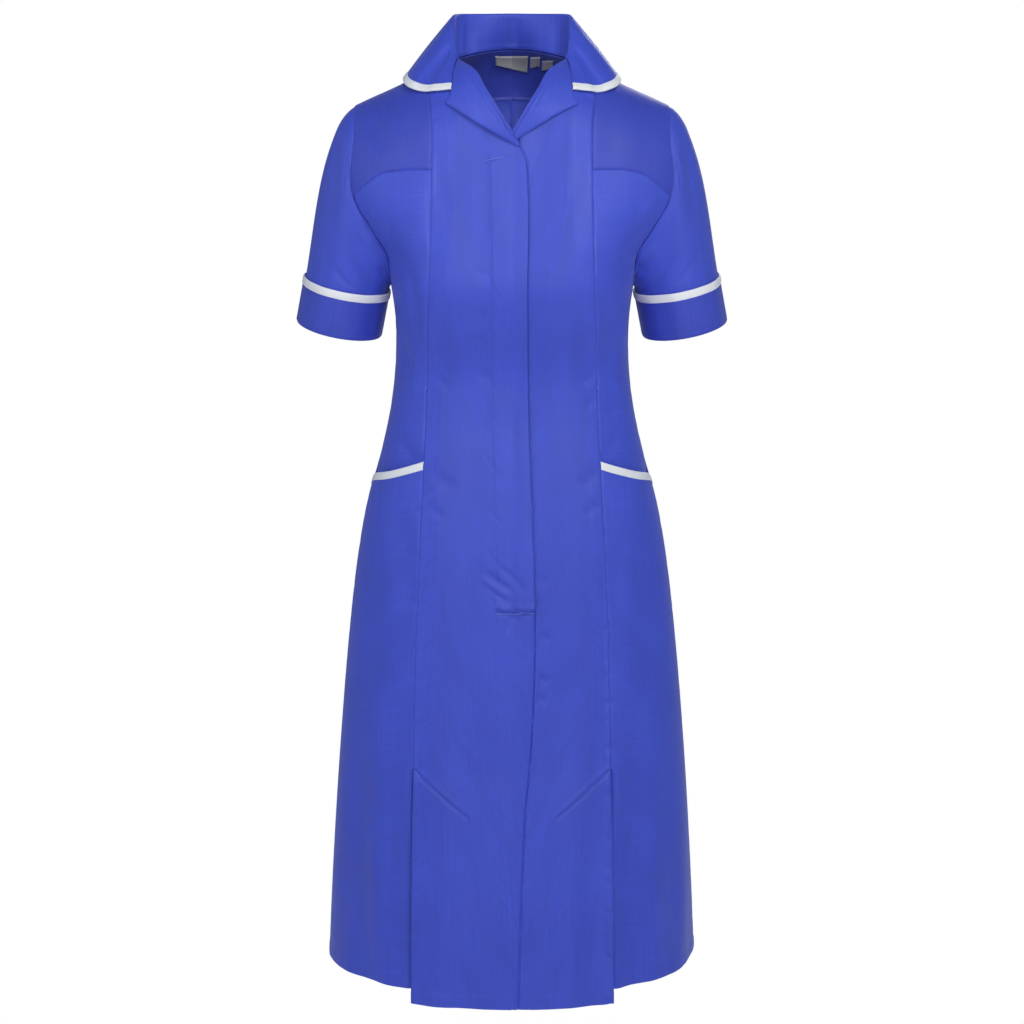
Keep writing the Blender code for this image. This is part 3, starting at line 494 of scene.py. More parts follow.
def folds(x, z, rows):
    """Soft troughs (depth below 0) and ridges along lines of the cloth, faded out at both ends."""
    lift = np.zeros(np.broadcast(x, z).shape)
    for x0, z0, x1, z1, width, depth, bow in rows:
        length = math.hypot(x1 - x0, z1 - z0)
        ax, az = (x1 - x0) / length, (z1 - z0) / length
        t = ((x - x0) * ax + (z - z0) * az) / length
        side = (x - x0) * az - (z - z0) * ax - bow * 4 * t * (1 - t)
        fade = np.clip((t + 0.12) / 0.45, 0, 1) * np.clip((1.12 - t) / 0.45, 0, 1)
        fade = fade * fade * (3 - 2 * fade)
        lift += depth * fade * np.exp(-(side / width) ** 2)
    return lift


def hem_turn(distance, along, depth, phase):
    """A hem turned up twice: a slightly thicker band with its stitch line drawn in."""
    band = 0.0004 * np.clip((depth - distance) / 0.001 + 0.5, 0, 1)
    groove = -0.00045 * np.exp(-((distance - depth + 0.0015) / 0.0009) ** 2)
    wave = np.sin(along * 2 * math.pi / 0.0193 + phase) + 0.7 * np.sin(along * 2 * math.pi / 0.0311 + 2 * phase)
    twist = 0.00022 * wave * np.exp(-((distance - 0.5 * depth) / (0.6 * depth)) ** 2)
    return band + groove + twist


def sew(name, node, points, normals, cut, material, wall=WALL, closed=False, side=1,
        keep=None):
    """A sheet of cloth from a grid of points, given its wall inward, riding on the dress."""
    rows, columns = points.shape[0] - 1, points.shape[1] - 1
    points = points * np.array([side, 1, 1])
    normals = normals * np.array([side, 1, 1])
    bm = bmesh.new()
    bmesh.ops.create_grid(bm, x_segments=columns, y_segments=rows, size=0.5)
    spots_of = {v: (round((v.co.y + 0.5) * rows), round((v.co.x + 0.5) * columns)) for v in bm.verts}
    layer = bm.loops.layers.uv.new("cut")
    for face in bm.faces:
        for loop in face.loops:
            loop[layer].uv = cut[spots_of[loop.vert]]
    if keep is not None:
        gone = [face for face in bm.faces if not keep(*np.mean([spots_of[v] for v in face.verts], axis=0))]
        bmesh.ops.delete(bm, geom=gone, context="FACES")
    facing = 0.0
    for vertex in bm.verts:
        vertex.co = points[spots_of[vertex]]
    bm.normal_update()
    for face in list(bm.faces)[::17]:
        facing += face.normal.dot(Vector(normals[spots_of[face.verts[0]]]))
    if facing < 0:
        bmesh.ops.reverse_faces(bm, faces=bm.faces[:])
    if closed:
        bmesh.ops.remove_doubles(bm, verts=bm.verts[:], dist=1e-6)
    mesh = bpy.data.meshes.new(name)
    bm.to_mesh(mesh)
    bm.free()
    mesh.materials.append(material)
    mesh.shade_smooth()
    piece = bpy.data.objects.new(name, mesh)
    bpy.context.scene.collection.objects.link(piece)
    shell = piece.modifiers.new("wall", "SOLIDIFY")
    shell.thickness = wall
    shell.offset = -1
    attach(piece, "root")
    if node:
        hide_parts(node)
    return piece


def stitch(name, lines, pitch, thickness, material):
    """Rows of machine stitches, each a short thread lying along its line."""
    bm = bmesh.new()
    for points, normals in lines:
        steps = np.linalg.norm(np.diff(points, axis=0), axis=1)
        run = np.concatenate([[0], np.cumsum(steps)])
        centres = np.arange(pitch / 2, run[-1], pitch)
        at = np.stack([np.interp(centres, run, points[:, k]) for k in range(3)], axis=-1)
        ahead = np.stack([np.interp(centres + pitch * 0.2, run, points[:, k]) for k in range(3)], axis=-1)
        behind = np.stack([np.interp(centres - pitch * 0.2, run, points[:, k]) for k in range(3)], axis=-1)
        up = np.stack([np.interp(centres, run, normals[:, k]) for k in range(3)], axis=-1)
        for centre, tangent, normal in zip(at, unit(ahead - behind), unit(up)):
            beside = np.cross(normal, tangent)
            turn = Matrix.Identity(4)
            size = (thickness / 2, thickness / 2, pitch * 0.40)
            for k, axis in enumerate((beside, normal, tangent)):
                for m in range(3):
                    turn[m][k] = axis[m] * size[k]
            for m in range(3):
                turn[m][3] = centre[m] + normal[m] * thickness * 0.25
            bmesh.ops.create_uvsphere(bm, u_segments=5, v_segments=4, radius=1, matrix=turn)
    bmesh.ops.recalc_face_normals(bm, faces=bm.faces[:])
    mesh = bpy.data.meshes.new(name)
    bm.to_mesh(mesh)
    bm.free()
    mesh.materials.append(material)
    mesh.shade_smooth()
    thread = bpy.data.objects.new(name, mesh)
    bpy.context.scene.collection.objects.link(thread)
    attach(thread, "root")
    return thread


def line_of(panel_points, panel_normals, distance_grid, distance, axis):
    """The line of a sheet that lies so far from an edge, as points and normals."""
    grid = distance_grid if axis == 1 else distance_grid.T
    points = panel_points if axis == 1 else panel_points.transpose(1, 0, 2)
    normals = panel_normals if axis == 1 else panel_normals.transpose(1, 0, 2)
    line, line_normals = [], []
    for k in range(len(grid)):
        order = slice(None) if grid[k, 0] < grid[k, -1] else slice(None, None, -1)
        line.append([np.interp(distance, grid[k, order], points[k, order, m]) for m in range(3)])
        line_normals.append([np.interp(distance, grid[k, order], normals[k, order, m]) for m in range(3)])
    return np.array(line), np.array(line_normals)


def princess_marks():
    """The shoulder, then even steps between the heights at which a panel starts or ends."""
    shoulder = float(shoulder_line(smooth(PRINCESS_SEAM, 1, 0.0)))
    chest, mouth = CHEST_SEAM[0][1], POCKET_MOUTH[0][1]
    heights = [shoulder + (chest - shoulder) * (k / 5) ** 2 for k in range(5)]
    for top, bottom, steps in ((chest, mouth, 8), (mouth, POCKET_BOTTOM, 3), (POCKET_BOTTOM, PLEAT_TOP, 3),
                               (PLEAT_TOP, HEM, 4)):
        heights += [top + (bottom - top) * k / steps for k in range(steps)]
    return heights + [HEM, CENTRE_HEM]


def princess(first, last):
    marks = princess_marks()[first:last + 1]
    return by_row(marks, lambda z: place_at(FRONT, smooth(PRINCESS_SEAM, 1, z), z))


def neck_edge(face, first, last):
    """Places on the neck seam between two of the collar's stations."""
    table = [(float(k), row[1], row[2]) for k, row in enumerate(COLLAR)]
    table.append((float(len(COLLAR)), -COLLAR[-2][1], COLLAR[-2][2]))
    k = np.linspace(first, last, 60)
    return curve(face, place_at(face, smooth(table, 1, k), smooth(table, 2, k)))


def front_marks(left):
    upper = np.linspace(FRONT_EDGE[0][0], PLACKET_END, 14)
    marks = np.concatenate([upper, np.linspace(PLACKET_END, CENTRE_HEM, 12)[1:]])
    if left:
        marks[0] = UNDER_CROSSING[1]
    return marks


def front_panel(left):
    """A centre front as it lies on the +X side; the right front's edge then runs at -x."""
    hand = 1 if left else -1
    shoulder_x = float(smooth(PRINCESS_SEAM, 1, 0.0))
    reach = np.linspace(shoulder_x, NECK_HALF, 30)
    shoulder = curve(FRONT, place_at(FRONT, reach, shoulder_line(reach)))
    neck = neck_edge(FRONT, 5, 0)
    marks = front_marks(left)
    edge = by_row(marks, lambda z: place_at(FRONT, hand * smooth(FRONT_EDGE, 1, z), z))
    if left:
        fold = spots(FRONT, LAPEL_FOLD[:-1] + [UNDER_CROSSING])
    else:
        fold = spots(FRONT, LAPEL_FOLD + [(-FRONT_EDGE[0][1], FRONT_EDGE[0][0])])
    hem_x = np.linspace(smooth(PRINCESS_SEAM, 1, CENTRE_HEM), hand * smooth(FRONT_EDGE, 1, CENTRE_HEM), 30)
    hem = curve(FRONT, place_at(FRONT, hem_x, CENTRE_HEM))
    return Panel(FRONT, princess(0, 24), edge, joined(FRONT, shoulder, neck, fold), hem, step=0.0025)


def centre_lift(z):
    """The centre panels stand off over the open kick pleats."""
    fall = np.clip((PLEAT_TOP - z) / (PLEAT_TOP - CENTRE_HEM), 0, 1)
    return 0.009 * fall * (2 - fall)


def centre_drape(x, z, phase):
    """Slow unevenness of hanging cloth, a little more of it towards the hem."""
    low = np.clip((-0.35 - z) / 0.6, 0, 1)
    return (0.0003 + 0.0013 * low) * (np.sin(x * 2 * math.pi / 0.083 + 1.7 * np.sin(z * 4.1) + phase)
                                      + 0.5 * np.sin(x * 2 * math.pi / 0.047 - z * 5.0 + 2 * phase))


# the placket's stitch line on the right front: height, x
PLACKET_STITCH = [
    (-0.106, -0.0252), (-0.160, -0.0238), (-0.206, -0.0228), (-0.396, -0.0226), (-0.440, -0.0215),
    (-0.506, -0.0195), (-0.609, -0.0167),
]

# x, height to x, height, half width, depth (below 0 a trough), bow
RIGHT_FRONT_FOLDS = [
    (-0.030, -0.562, 0.002, -0.584, 0.0042, -0.0012, 0.0010),
    (-0.029, -0.575, -0.004, -0.596, 0.0034, -0.0009, 0.0015),
    (-0.013, -0.556, 0.014, -0.585, 0.0048, -0.0010, -0.0020),
    (-0.033, -0.568, -0.006, -0.590, 0.0030, 0.0007, 0.0012),
    (-0.038, -0.545, -0.030, -0.592, 0.0050, -0.0006, 0.0010),
    (0.003, -0.590, 0.001, -0.606, 0.0030, -0.0009, 0.0),
    (-0.006, -0.612, 0.012, -0.616, 0.0030, -0.0010, 0.0),
    (0.000, -0.612, -0.006, -0.632, 0.0040, -0.0007, 0.0010),
    (0.016, -0.656, 0.004, -0.664, 0.0035, -0.0005, 0.0),
    (-0.040, -0.226, -0.028, -0.236, 0.0050, -0.0007, 0.0),
    (-0.037, -0.272, -0.026, -0.283, 0.0055, -0.0008, 0.0),
    (-0.041, -0.302, -0.029, -0.312, 0.0060, -0.0007, 0.0),
    (-0.038, -0.341, -0.027, -0.350, 0.0050, -0.0006, 0.0),
    (-0.086, -0.348, -0.068, -0.362, 0.0060, -0.0007, 0.0),
    (-0.088, -0.455, -0.062, -0.470, 0.0080, -0.0009, 0.0020),
    (-0.094, -0.492, -0.074, -0.505, 0.0060, -0.0007, 0.0),
    (-0.060, -0.640, -0.068, -0.790, 0.0180, -0.0012, 0.0050),
    (-0.036, -0.700, -0.044, -0.960, 0.0160, -0.0011, -0.0040),
    (-0.082, -0.830, -0.088, -1.040, 0.0140, -0.0014, 0.0040),
    (-0.016, -0.800, -0.018, -1.045, 0.0130, -0.0012, 0.0030),
    (-0.050, -0.930, -0.053, -1.050, 0.0090, 0.0012, 0.0010),
    (-0.095, -1.030, -0.060, -1.040, 0.0060, -0.0005, 0.0),
    (-0.070, -0.100, -0.030, -0.150, 0.0120, -0.0008, 0.0040),
    (-0.082, -0.090, -0.066, -0.190, 0.0110, -0.0006, 0.0030),
]
LEFT_FRONT_FOLDS = [
    (0.094, -0.342, 0.078, -0.358, 0.0060, -0.0009, 0.0),
    (0.096, -0.372, 0.080, -0.384, 0.0055, -0.0007, 0.0),
    (0.030, -0.232, 0.044, -0.240, 0.0055, -0.0006, 0.0),
    (0.026, -0.262, 0.037, -0.270, 0.0050, -0.0006, 0.0),
    (0.095, -0.452, 0.072, -0.470, 0.0080, -0.0010, -0.0020),
    (0.097, -0.490, 0.078, -0.502, 0.0060, -0.0008, 0.0),
    (0.028, -0.568, 0.040, -0.576, 0.0050, -0.0006, 0.0),
    (0.030, -0.632, 0.044, -0.640, 0.0045, -0.0008, 0.0),
    (0.030, -0.680, 0.042, -0.686, 0.0040, -0.0010, 0.0),
    (0.029, -0.703, 0.040, -0.708, 0.0040, -0.0009, 0.0),
    (0.052, -0.650, 0.060, -0.800, 0.0180, -0.0012, -0.0050),
    (0.082, -0.840, 0.088, -1.045, 0.0150, -0.0014, -0.0030),
    (0.040, -0.860, 0.046, -1.048, 0.0120, -0.0013, 0.0040),
    (0.064, -0.930, 0.067, -1.050, 0.0090, 0.0012, 0.0010),
    (0.020, -0.950, 0.022, -1.050, 0.0070, -0.0008, 0.0),
    (0.070, -0.100, 0.034, -0.150, 0.0120, -0.0008, -0.0040),
    (0.082, -0.095, 0.066, -0.200, 0.0110, -0.0006, -0.0030),
]


def groove(distance, depth, width):
    """A stitch line drawn into the cloth."""
    return -depth * np.exp(-(distance / width) ** 2)


def pleat_stitch(x, z):
    """Distance from the slanted stitch line over the kick pleat, and the side of it."""
    start, end = np.array([0.1116, PLEAT_TOP]), np.array([0.0500, -0.8395])
    along = (end - start) / np.linalg.norm(end - start)
    t = (np.abs(x) - start[0]) * along[0] + (z - start[1]) * along[1]
    off = (np.abs(x) - start[0]) * along[1] - (z - start[1]) * along[0]
    past = np.maximum(np.maximum(-t, t - np.linalg.norm(end - start)), 0)
    return np.hypot(off, past), off


def beside(distance, reach=0.014):
    """Nothing at a seam, where neighbours have to meet, rising to the whole inside the panel."""
    t = np.clip(distance / reach, 0, 1)
    return t * t * (3 - 2 * t)


def centre_relief(panel, x, rows, phase):
    """What both centre fronts have in common."""
    z = panel.z
    free = np.maximum(beside(panel.from_inner, 0.006), np.clip((PLEAT_TOP - z) / 0.03, 0, 1))
    lift = centre_lift(z) + (centre_drape(x, z, phase) + 1.7 * folds(x, z, rows)) * free
    lift += seam_roll(panel.from_inner)
    lift += puckers(panel.from_inner, panel.from_top, 0.0012, 0.011, phase) * np.clip((-0.43 - z) / 0.05, 0.35, 1)
    lift += hem_turn(panel.from_bottom, panel.from_inner, 0.0165, phase)
    distance, above = pleat_stitch(x, z)
    lift += groove(distance, 0.0015, 0.0017) + np.where(above > 0, groove(distance - 0.0042, -0.0007, 0.0026), 0)
    return lift


right = front_panel(False)
right_x = -right.x
lower = right.z < PLACKET_END
right.lift = centre_relief(right, right_x, RIGHT_FRONT_FOLDS, 0.4)
right.lift -= centre_drape(right_x, right.z, 0.4) * (1 - beside(right.from_outer))
stitch_gap = np.abs(right_x - smooth(PLACKET_STITCH, 1, right.z))
in_placket = np.clip((right_x - smooth(PLACKET_STITCH, 1, right.z)) / 0.002, 0, 1)
above_end = np.clip((right.z - PLACKET_END) / 0.002, 0, 1) * np.clip((-0.104 - right.z) / 0.002, 0, 1)
right.lift += (0.0007 * in_placket - 0.0008 * np.exp(-(stitch_gap / 0.0014) ** 2)) * above_end
right.lift += puckers(stitch_gap, right.from_top, 0.00045, 0.008, 1.9) * above_end
right.lift += np.where(lower, seam_roll(right.from_outer, 0.0016), 0.0010 * np.exp(-(right.from_outer / 0.016) ** 2)
                       + seam_roll(right.from_outer, 0.0006, 0.0007))
right.lift += np.where(lower, puckers(right.from_outer, right.from_top, 0.0006, 0.009, 2.2), 0)
bar = (np.abs(right.z - PLACKET_END) < 0.02) & (right_x > -0.0175)
tack_gap = right.z - PLACKET_END - 0.0010 * np.sin(right_x * 300)
right.lift += np.where(bar, groove(tack_gap, 0.0024, 0.0017) - groove(tack_gap - 0.0050, 0.0016, 0.0034), 0)
right_front = sew("right_front_twill", "front_right", right.points, right.normals, right.cut, royal_twill, side=-1)

left = front_panel(True)
left.lift = centre_relief(left, left.x, LEFT_FRONT_FOLDS, 3.1)
left.lift -= centre_drape(left.x, left.z, 3.1) * (1 - beside(left.from_outer))
under = front_panel(False)
dive = 0.0014 * np.clip(1 - left.from_outer / 0.010, 0, 1) ** 2
dive = np.where(left.z > PLACKET_END - 0.004, dive, 0)
left.lift -= dive
left.lift += np.where(left.z < PLACKET_END, seam_roll(left.from_outer, 0.0016), 0)
left.lift += puckers(left.from_outer, left.from_top, 0.0007, 0.010, 4.4) * np.clip((-0.3 - left.z) / 0.05, 0.15, 1)
# behind the placket the left front runs on, on the right front's own cloth moved in
extra = np.linspace(0.0, 0.036, 12)[1:]
reach = under.from_outer
below = left.z[:, -1] > PLACKET_END - 0.002
add, add_normals = [], []
for distance in extra:
    line, line_normals = line_of(under.base, under.normals, reach, distance, 1)
    rows_v = under.v
    at = np.stack([np.interp(left.v, rows_v, line[:, k]) for k in range(3)], axis=-1)
    out = np.stack([np.interp(left.v, rows_v, line_normals[:, k]) for k in range(3)], axis=-1)
    at, out = at * (-1, 1, 1), out * (-1, 1, 1)
    add.append(at - 0.0024 * out)
    add_normals.append(out)
flap = np.stack(add, axis=1)
flap_normals = np.stack(add_normals, axis=1)
top_rows = np.clip(left.v * 24 / 2, 0, 1)[:, None, None]
slant_x = np.linspace(UNDER_CROSSING[0], -0.014, 12)[1:]
slant_z = np.linspace(UNDER_CROSSING[1], -0.094, 12)[1:]
slant_place = place_at(FRONT, slant_x, slant_z)
slant = form(FRONT, slant_place[:, 0], slant_place[:, 1])
slant = slant - 0.0045 * form_normal(FRONT, slant_place[:, 0], slant_place[:, 1])
second = np.argmin(np.abs(left.v * 24 - 2))
flap = np.where(top_rows < 1, slant[None] * (1 - top_rows) + flap[second][None] * top_rows, flap)
wide = np.concatenate([left.points, flap], axis=1)
wide_normals = np.concatenate([left.normals, flap_normals], axis=1)
flap_cut = left.cut[:, -1:] + np.stack([extra, 0 * extra], axis=-1)[None]
wide_cut = np.concatenate([left.cut, flap_cut], axis=1)
edge_column = left.base.shape[1] - 1
last_row = np.nonzero(below)[0][-1]
left_front = sew("left_front_twill", "front_left", wide, wide_normals, wide_cut, royal_twill,
                 keep=lambda i, j: j < edge_column or i < last_row)


# ---- shoulder panels, side fronts and pockets --------------------------------------
# Beside each centre front: a shoulder panel cut across the grain down to a curved seam over the
# bust, the side front below it, and the side skirt, which laps over the side front's lower end as
# a pocket with a white bound mouth. The skirt runs on behind the centre front as a kick pleat.
ARMHOLE_MIDDLE = -0.1515
ARMHOLE_HALF_HEIGHT = 0.0985
ARMHOLE_DEPTH = {FRONT: 0.054, BACK: 0.052}
ARMHOLE_TURNS = {FRONT: np.radians([0, 18, 36, 54, 72, 90, 112.5, 135, 157.5, 180]),
                 BACK: np.radians([0, 16, 32, 47, 62, 86, 110, 134, 157, 180])}
UNDERARM = ARMHOLE_MIDDLE - ARMHOLE_HALF_HEIGHT
PLEAT_INNER = 0.0495
PLEAT_INNER_TOP = -0.840
POCKET_DEPTH = 0.0042

# x, height to x, height, half width, depth, bow; on the +X side
SIDE_FRONT_FOLDS = [
    (0.112, -0.232, 0.106, -0.322, 0.0070, -0.0016, 0.0030),
    (0.120, -0.262, 0.113, -0.345, 0.0060, -0.0011, -0.0030),
    (0.103, -0.285, 0.109, -0.400, 0.0050, -0.0009, 0.0020),
    (0.126, -0.302, 0.114, -0.372, 0.0050, -0.0009, 0.0020),
    (0.150, -0.170, 0.128, -0.236, 0.0090, -0.0012, 0.0060),
    (0.158, -0.160, 0.142, -0.190, 0.0060, 0.0009, 0.0030),
    (0.134, -0.370, 0.112, -0.395, 0.0060, -0.0008, 0.0020),
    (0.108, -0.135, 0.112, -0.215, 0.0130, 0.0010, 0.0040),
    (0.128, -0.410, 0.108, -0.440, 0.0070, -0.0010, 0.0020),
]
SHOULDER_FOLDS = [
    (0.158, -0.070, 0.140, -0.112, 0.0080, -0.0009, 0.0030),
    (0.120, -0.050, 0.112, -0.110, 0.0120, -0.0008, 0.0030),
    (0.166, -0.110, 0.148, -0.124, 0.0060, -0.0008, 0.0010),
]
SKIRT_FOLDS = [
    (0.128, -0.500, 0.122, -0.620, 0.0120, -0.0012, 0.0050),
    (0.150, -0.520, 0.150, -0.700, 0.0160, -0.0014, -0.0050),
    (0.140, -0.700, 0.146, -1.030, 0.0170, -0.0028, 0.0060),
    (0.170, -0.760, 0.180, -1.036, 0.0140, -0.0026, -0.0040),
    (0.156, -0.860, 0.163, -1.038, 0.0120, 0.0022, 0.0030),
    (0.124, -0.820, 0.128, -1.030, 0.0110, -0.0020, 0.0040),
    (0.190, -0.900, 0.198, -1.036, 0.0090, -0.0022, 0.0020),
    (0.166, -0.560, 0.176, -0.740, 0.0120, -0.0012, 0.0030),
]


def uneven(rows, phase):
    """The same creases again, each a little elsewhere and deeper or shallower."""
    changed = []
    for k, (x0, z0, x1, z1, width, depth, bow) in enumerate(rows):
        sway = math.sin(2.3 * k + phase)
        shift, drop = 0.0035 * sway, 0.011 * math.cos(1.9 * k + phase)
        deeper = 0.95 + 0.35 * math.sin(1.7 * k + 2 * phase)
        changed.append((x0 + shift, z0 + drop, x1 + shift, z1 + drop, width, depth * deeper * 1.5, bow))
    return changed


def armhole_place(face, turn):
    """Places on the armhole seam, from its top (0) to the underarm (pi)."""
    turn = np.asarray(turn, float)
    height = ARMHOLE_MIDDLE + ARMHOLE_HALF_HEIGHT * np.cos(turn)
    depth = ARMHOLE_DEPTH[face] * np.sin(turn)
    low, high = np.zeros_like(turn), np.full_like(turn, math.pi / 2)
    for _ in range(40):
        angle = (low + high) / 2
        inside = np.abs(form(face, angle, girth_at(face, angle, height))[..., 1]) < depth + 1e-6
        low, high = np.where(inside, angle, low), np.where(inside, high, angle)
    return np.stack([high, girth_at(face, high, height)], axis=-1)


def armhole(face, first, last):
    return by_row(ARMHOLE_TURNS[face][first:last + 1], lambda turn: armhole_place(face, turn))


def side_seam(face, top, bottom):
    return by_row([top, bottom], lambda z: np.stack([0 * z, girth_at(face, 0 * z, z)], axis=-1))


def side_drape(x, z, phase):
    """Slow unevenness that grows into soft flutes towards the hem."""
    low = np.clip((-0.50 - z) / 0.5, 0, 1)
    return (0.0004 + 0.0020 * low * low) * (np.sin(x * 2 * math.pi / 0.071 + 1.3 * np.sin(z * 3.7) + phase)
                                            + 0.4 * np.sin(x * 2 * math.pi / 0.039 - z * 6 + 2 * phase))


chest_places = place_at(FRONT, *np.array(CHEST_SEAM).T)
chest_places[-1] = armhole_place(FRONT, math.pi / 2)
chest_seam = curve(FRONT, chest_places)
mouth_places = np.concatenate([place_at(FRONT, *np.array(POCKET_MOUTH).T),
                               [[0.0, girth_at(FRONT, 0.0, POCKET_SIDE)]]])
pocket_mouth = curve(FRONT, mouth_places)
white_tape = twill("white_tape", (0.96, 0.945, 0.92, 1.0), rib=0.0009, rib_height=0.00008, streak=0.012)
royal_thread = Finish("royal_thread", Base_Color=(0.085, 0.125, 0.62, 1.0), Roughness=0.45,
                      Specular_IOR_Level=0.5).material
white_thread = Finish("white_thread", Base_Color=(0.82, 0.82, 0.84, 1.0), Roughness=0.45).material


def bind(name, node, edge, inward, normals, covered, material, side=1, width=0.0085, under=0.0060,
         closed=False):
    """White tape folded over a cloth's edge, a little crowned; it gives back the line along its inner edge on the face,
    for stitching.

    The edge is a line of points, inward the way from it into the cloth, covered the cloth's wall."""
    off = 0.0009
    # how far in from the edge, how far out from the cloth's face
    profile = [(width, off * 0.55), (width - 0.0004, off * 0.95), (width - 0.0012, off * 0.85),
               (width * 0.72, off * 1.15), (width * 0.48, off * 1.22), (width * 0.24, off * 1.20),
               (0.0008, off * 1.12), (-0.0002, off * 0.85), (-0.0008, off * 0.25), (-0.0009, -covered * 0.5),
               (-0.0008, -covered - off * 0.25), (-0.0002, -covered - off * 0.85), (0.0008, -covered - off * 1.1),
               (under * 0.5, -covered - off * 1.15), (under, -covered - off)]
    profile = profile if under else profile[:9]
    points = np.stack([edge + inward * a + normals * b for a, b in profile])
    run = np.concatenate([[0], np.cumsum(np.linalg.norm(np.diff(edge, axis=0), axis=1))])
    ripple = 0.00008 * np.sin(run * 2 * math.pi / 0.0061 + 1) + 0.00008 * np.sin(run * 2 * math.pi / 0.0143)
    ripple[-1] = ripple[0]
    points[3:6] += ripple[None, :, None] * normals
    drop = np.concatenate([[0], np.cumsum(np.linalg.norm(np.diff(np.array(profile), axis=0), axis=1))])
    cut = np.stack(np.broadcast_arrays(run[None, :], -drop[:, None]), axis=-1)
    tape = sew(name, node, points, np.stack([normals] * len(points)), cut, material, wall=0.0007,
               side=side, closed=closed)
    line = edge + inward * (width - 0.0012) + normals * off * 0.85
    return [(line * (side, 1, 1), normals * (side, 1, 1))]


SIDES = (("right", -1, 0.7), ("left", 1, 2.9))
for hand, side, phase in SIDES:
    shoulder_x = float(smooth(PRINCESS_SEAM, 1, 0.0))
    tip_x = float(form(FRONT, *armhole_place(FRONT, 0.0))[0])
    reach = np.linspace(shoulder_x, tip_x, 30)
    shoulder = curve(FRONT, place_at(FRONT, reach, shoulder_line(reach)))
    over = Panel(FRONT, princess(0, 5), armhole(FRONT, 0, 5), shoulder, chest_seam)
    over.lift = (folds(over.x, over.z, uneven(SHOULDER_FOLDS, phase)) + seam_roll(over.from_inner)
                 + seam_roll(over.from_outer, 0.0008) + seam_roll(over.from_bottom, 0.0008)
                 + puckers(over.from_outer, over.from_top, 0.0004, 0.010, phase))
    # the shoulder panel takes the darker copy of the twill: painted shade
    panel = sew(f"{hand}_shoulder_twill", f"shoulder_panel_{hand}", over.points, over.normals, over.cut,
                royal_twill_painted_shade, side=side)

    side_edge = then(armhole(FRONT, 5, 9), 4, side_seam(FRONT, UNDERARM, POCKET_SIDE), 4)
    bust = Panel(FRONT, princess(5, 13), side_edge, chest_seam, pocket_mouth)
    inside = beside(bust.from_inner, 0.006) * beside(bust.from_outer)
    bust.lift = ((folds(bust.x, bust.z, uneven(SIDE_FRONT_FOLDS, phase)) + side_drape(bust.x, bust.z, phase)) * inside
                 + seam_roll(bust.from_inner) + seam_roll(bust.from_outer) + seam_roll(bust.from_top, 0.0008)
                 + puckers(bust.from_inner, bust.from_top, 0.0005, 0.009, phase + 1)
                 + puckers(bust.from_top, bust.from_inner, 0.00030, 0.008, phase)
                 + puckers(bust.from_outer, bust.from_top, 0.00034, 0.010, phase + 2)
                 - POCKET_DEPTH * np.clip(1 - bust.from_bottom / 0.030, 0, 1) ** 2)
    skirt_side = side_seam(FRONT, POCKET_SIDE, HEM)
    hem_angle = float(place_at(FRONT, smooth(PRINCESS_SEAM, 1, HEM), HEM)[0])
    angles = np.linspace(hem_angle, 0, 30)
    hem = curve(FRONT, np.stack([angles, girth_at(FRONT, angles, HEM)], axis=-1))
    skirt = Panel(FRONT, princess(13, 23), skirt_side, pocket_mouth, hem, across=bust.u)
    bag = skirt.v <= 0.30
    bag_points = (skirt.base - POCKET_DEPTH * skirt.normals)[bag][1:]
    pocket_cut = skirt.cut[bag][1:] + bust.cut[-1:, :]
    piece = sew(f"{hand}_side_front_twill", f"side_front_{hand}",
                np.concatenate([bust.points, bag_points]), np.concatenate([bust.normals, skirt.normals[bag][1:]]),
                np.concatenate([bust.cut, pocket_cut]), royal_twill, side=side)

    opened = np.clip((PLEAT_TOP + 0.004 - skirt.z) / 0.008, 0, 1)
    inside = np.maximum(beside(skirt.from_inner, 0.006), opened) * beside(skirt.from_outer, 0.045)
    skirt.lift = ((folds(skirt.x, skirt.z, uneven(SKIRT_FOLDS, phase))
                   + side_drape(skirt.x, skirt.z, phase + 1)) * inside
                  + seam_roll(skirt.from_inner) * (1 - opened) + seam_roll(skirt.from_outer)
                  + puckers(skirt.from_inner, skirt.from_top, 0.0006, 0.009, phase) * (1 - opened)
                  + puckers(skirt.from_outer, skirt.from_top, 0.0003, 0.010, phase + 3)
                  + hem_turn(skirt.from_bottom, skirt.from_inner, 0.0140, phase)
                  - 0.0065 * opened * np.clip(1 - skirt.from_inner / 0.010, 0, 1) ** 2
                  + 0.0010 * np.exp(-(skirt.from_top / 0.03) ** 2) * np.sin(math.pi * skirt.u)[None])
    first = np.nonzero(skirt.base[:, 0, 2] < PLEAT_TOP)[0][0]
    inner_share = np.linspace(1, 0, 17)[:-1]
    height = skirt.base[:, :1, 2]
    share = np.maximum((PLEAT_TOP - height) / (PLEAT_TOP - HEM), 0)
    under_x = skirt.base[:, :1, 0] + (PLEAT_INNER - skirt.base[:, :1, 0]) * inner_share
    under_top = PLEAT_TOP + (PLEAT_INNER_TOP - PLEAT_TOP) * inner_share
    behind = place_at(FRONT, under_x, under_top + (HEM - under_top) * share)
    behind_normals = form_normal(FRONT, behind[..., 0], behind[..., 1])
    sunk = 0.0065 * np.clip((PLEAT_TOP + 0.004 - height) / 0.008, 0, 1)
    behind_points = form(FRONT, behind[..., 0], behind[..., 1]) - sunk[..., None] * behind_normals
    behind_cut = skirt.cut[:, :1] - np.stack(np.broadcast_arrays(inner_share * 0.062, 0 * height), axis=-1)
    wide = np.concatenate([behind_points, skirt.points], axis=1)
    wide_normals = np.concatenate([behind_normals, skirt.normals], axis=1)
    piece = sew(f"{hand}_side_skirt_twill", f"side_skirt_{hand}", wide, wide_normals,
                np.concatenate([behind_cut, skirt.cut], axis=1), royal_twill, side=side,
                keep=lambda i, j, first=first: j > 16 or i > first)

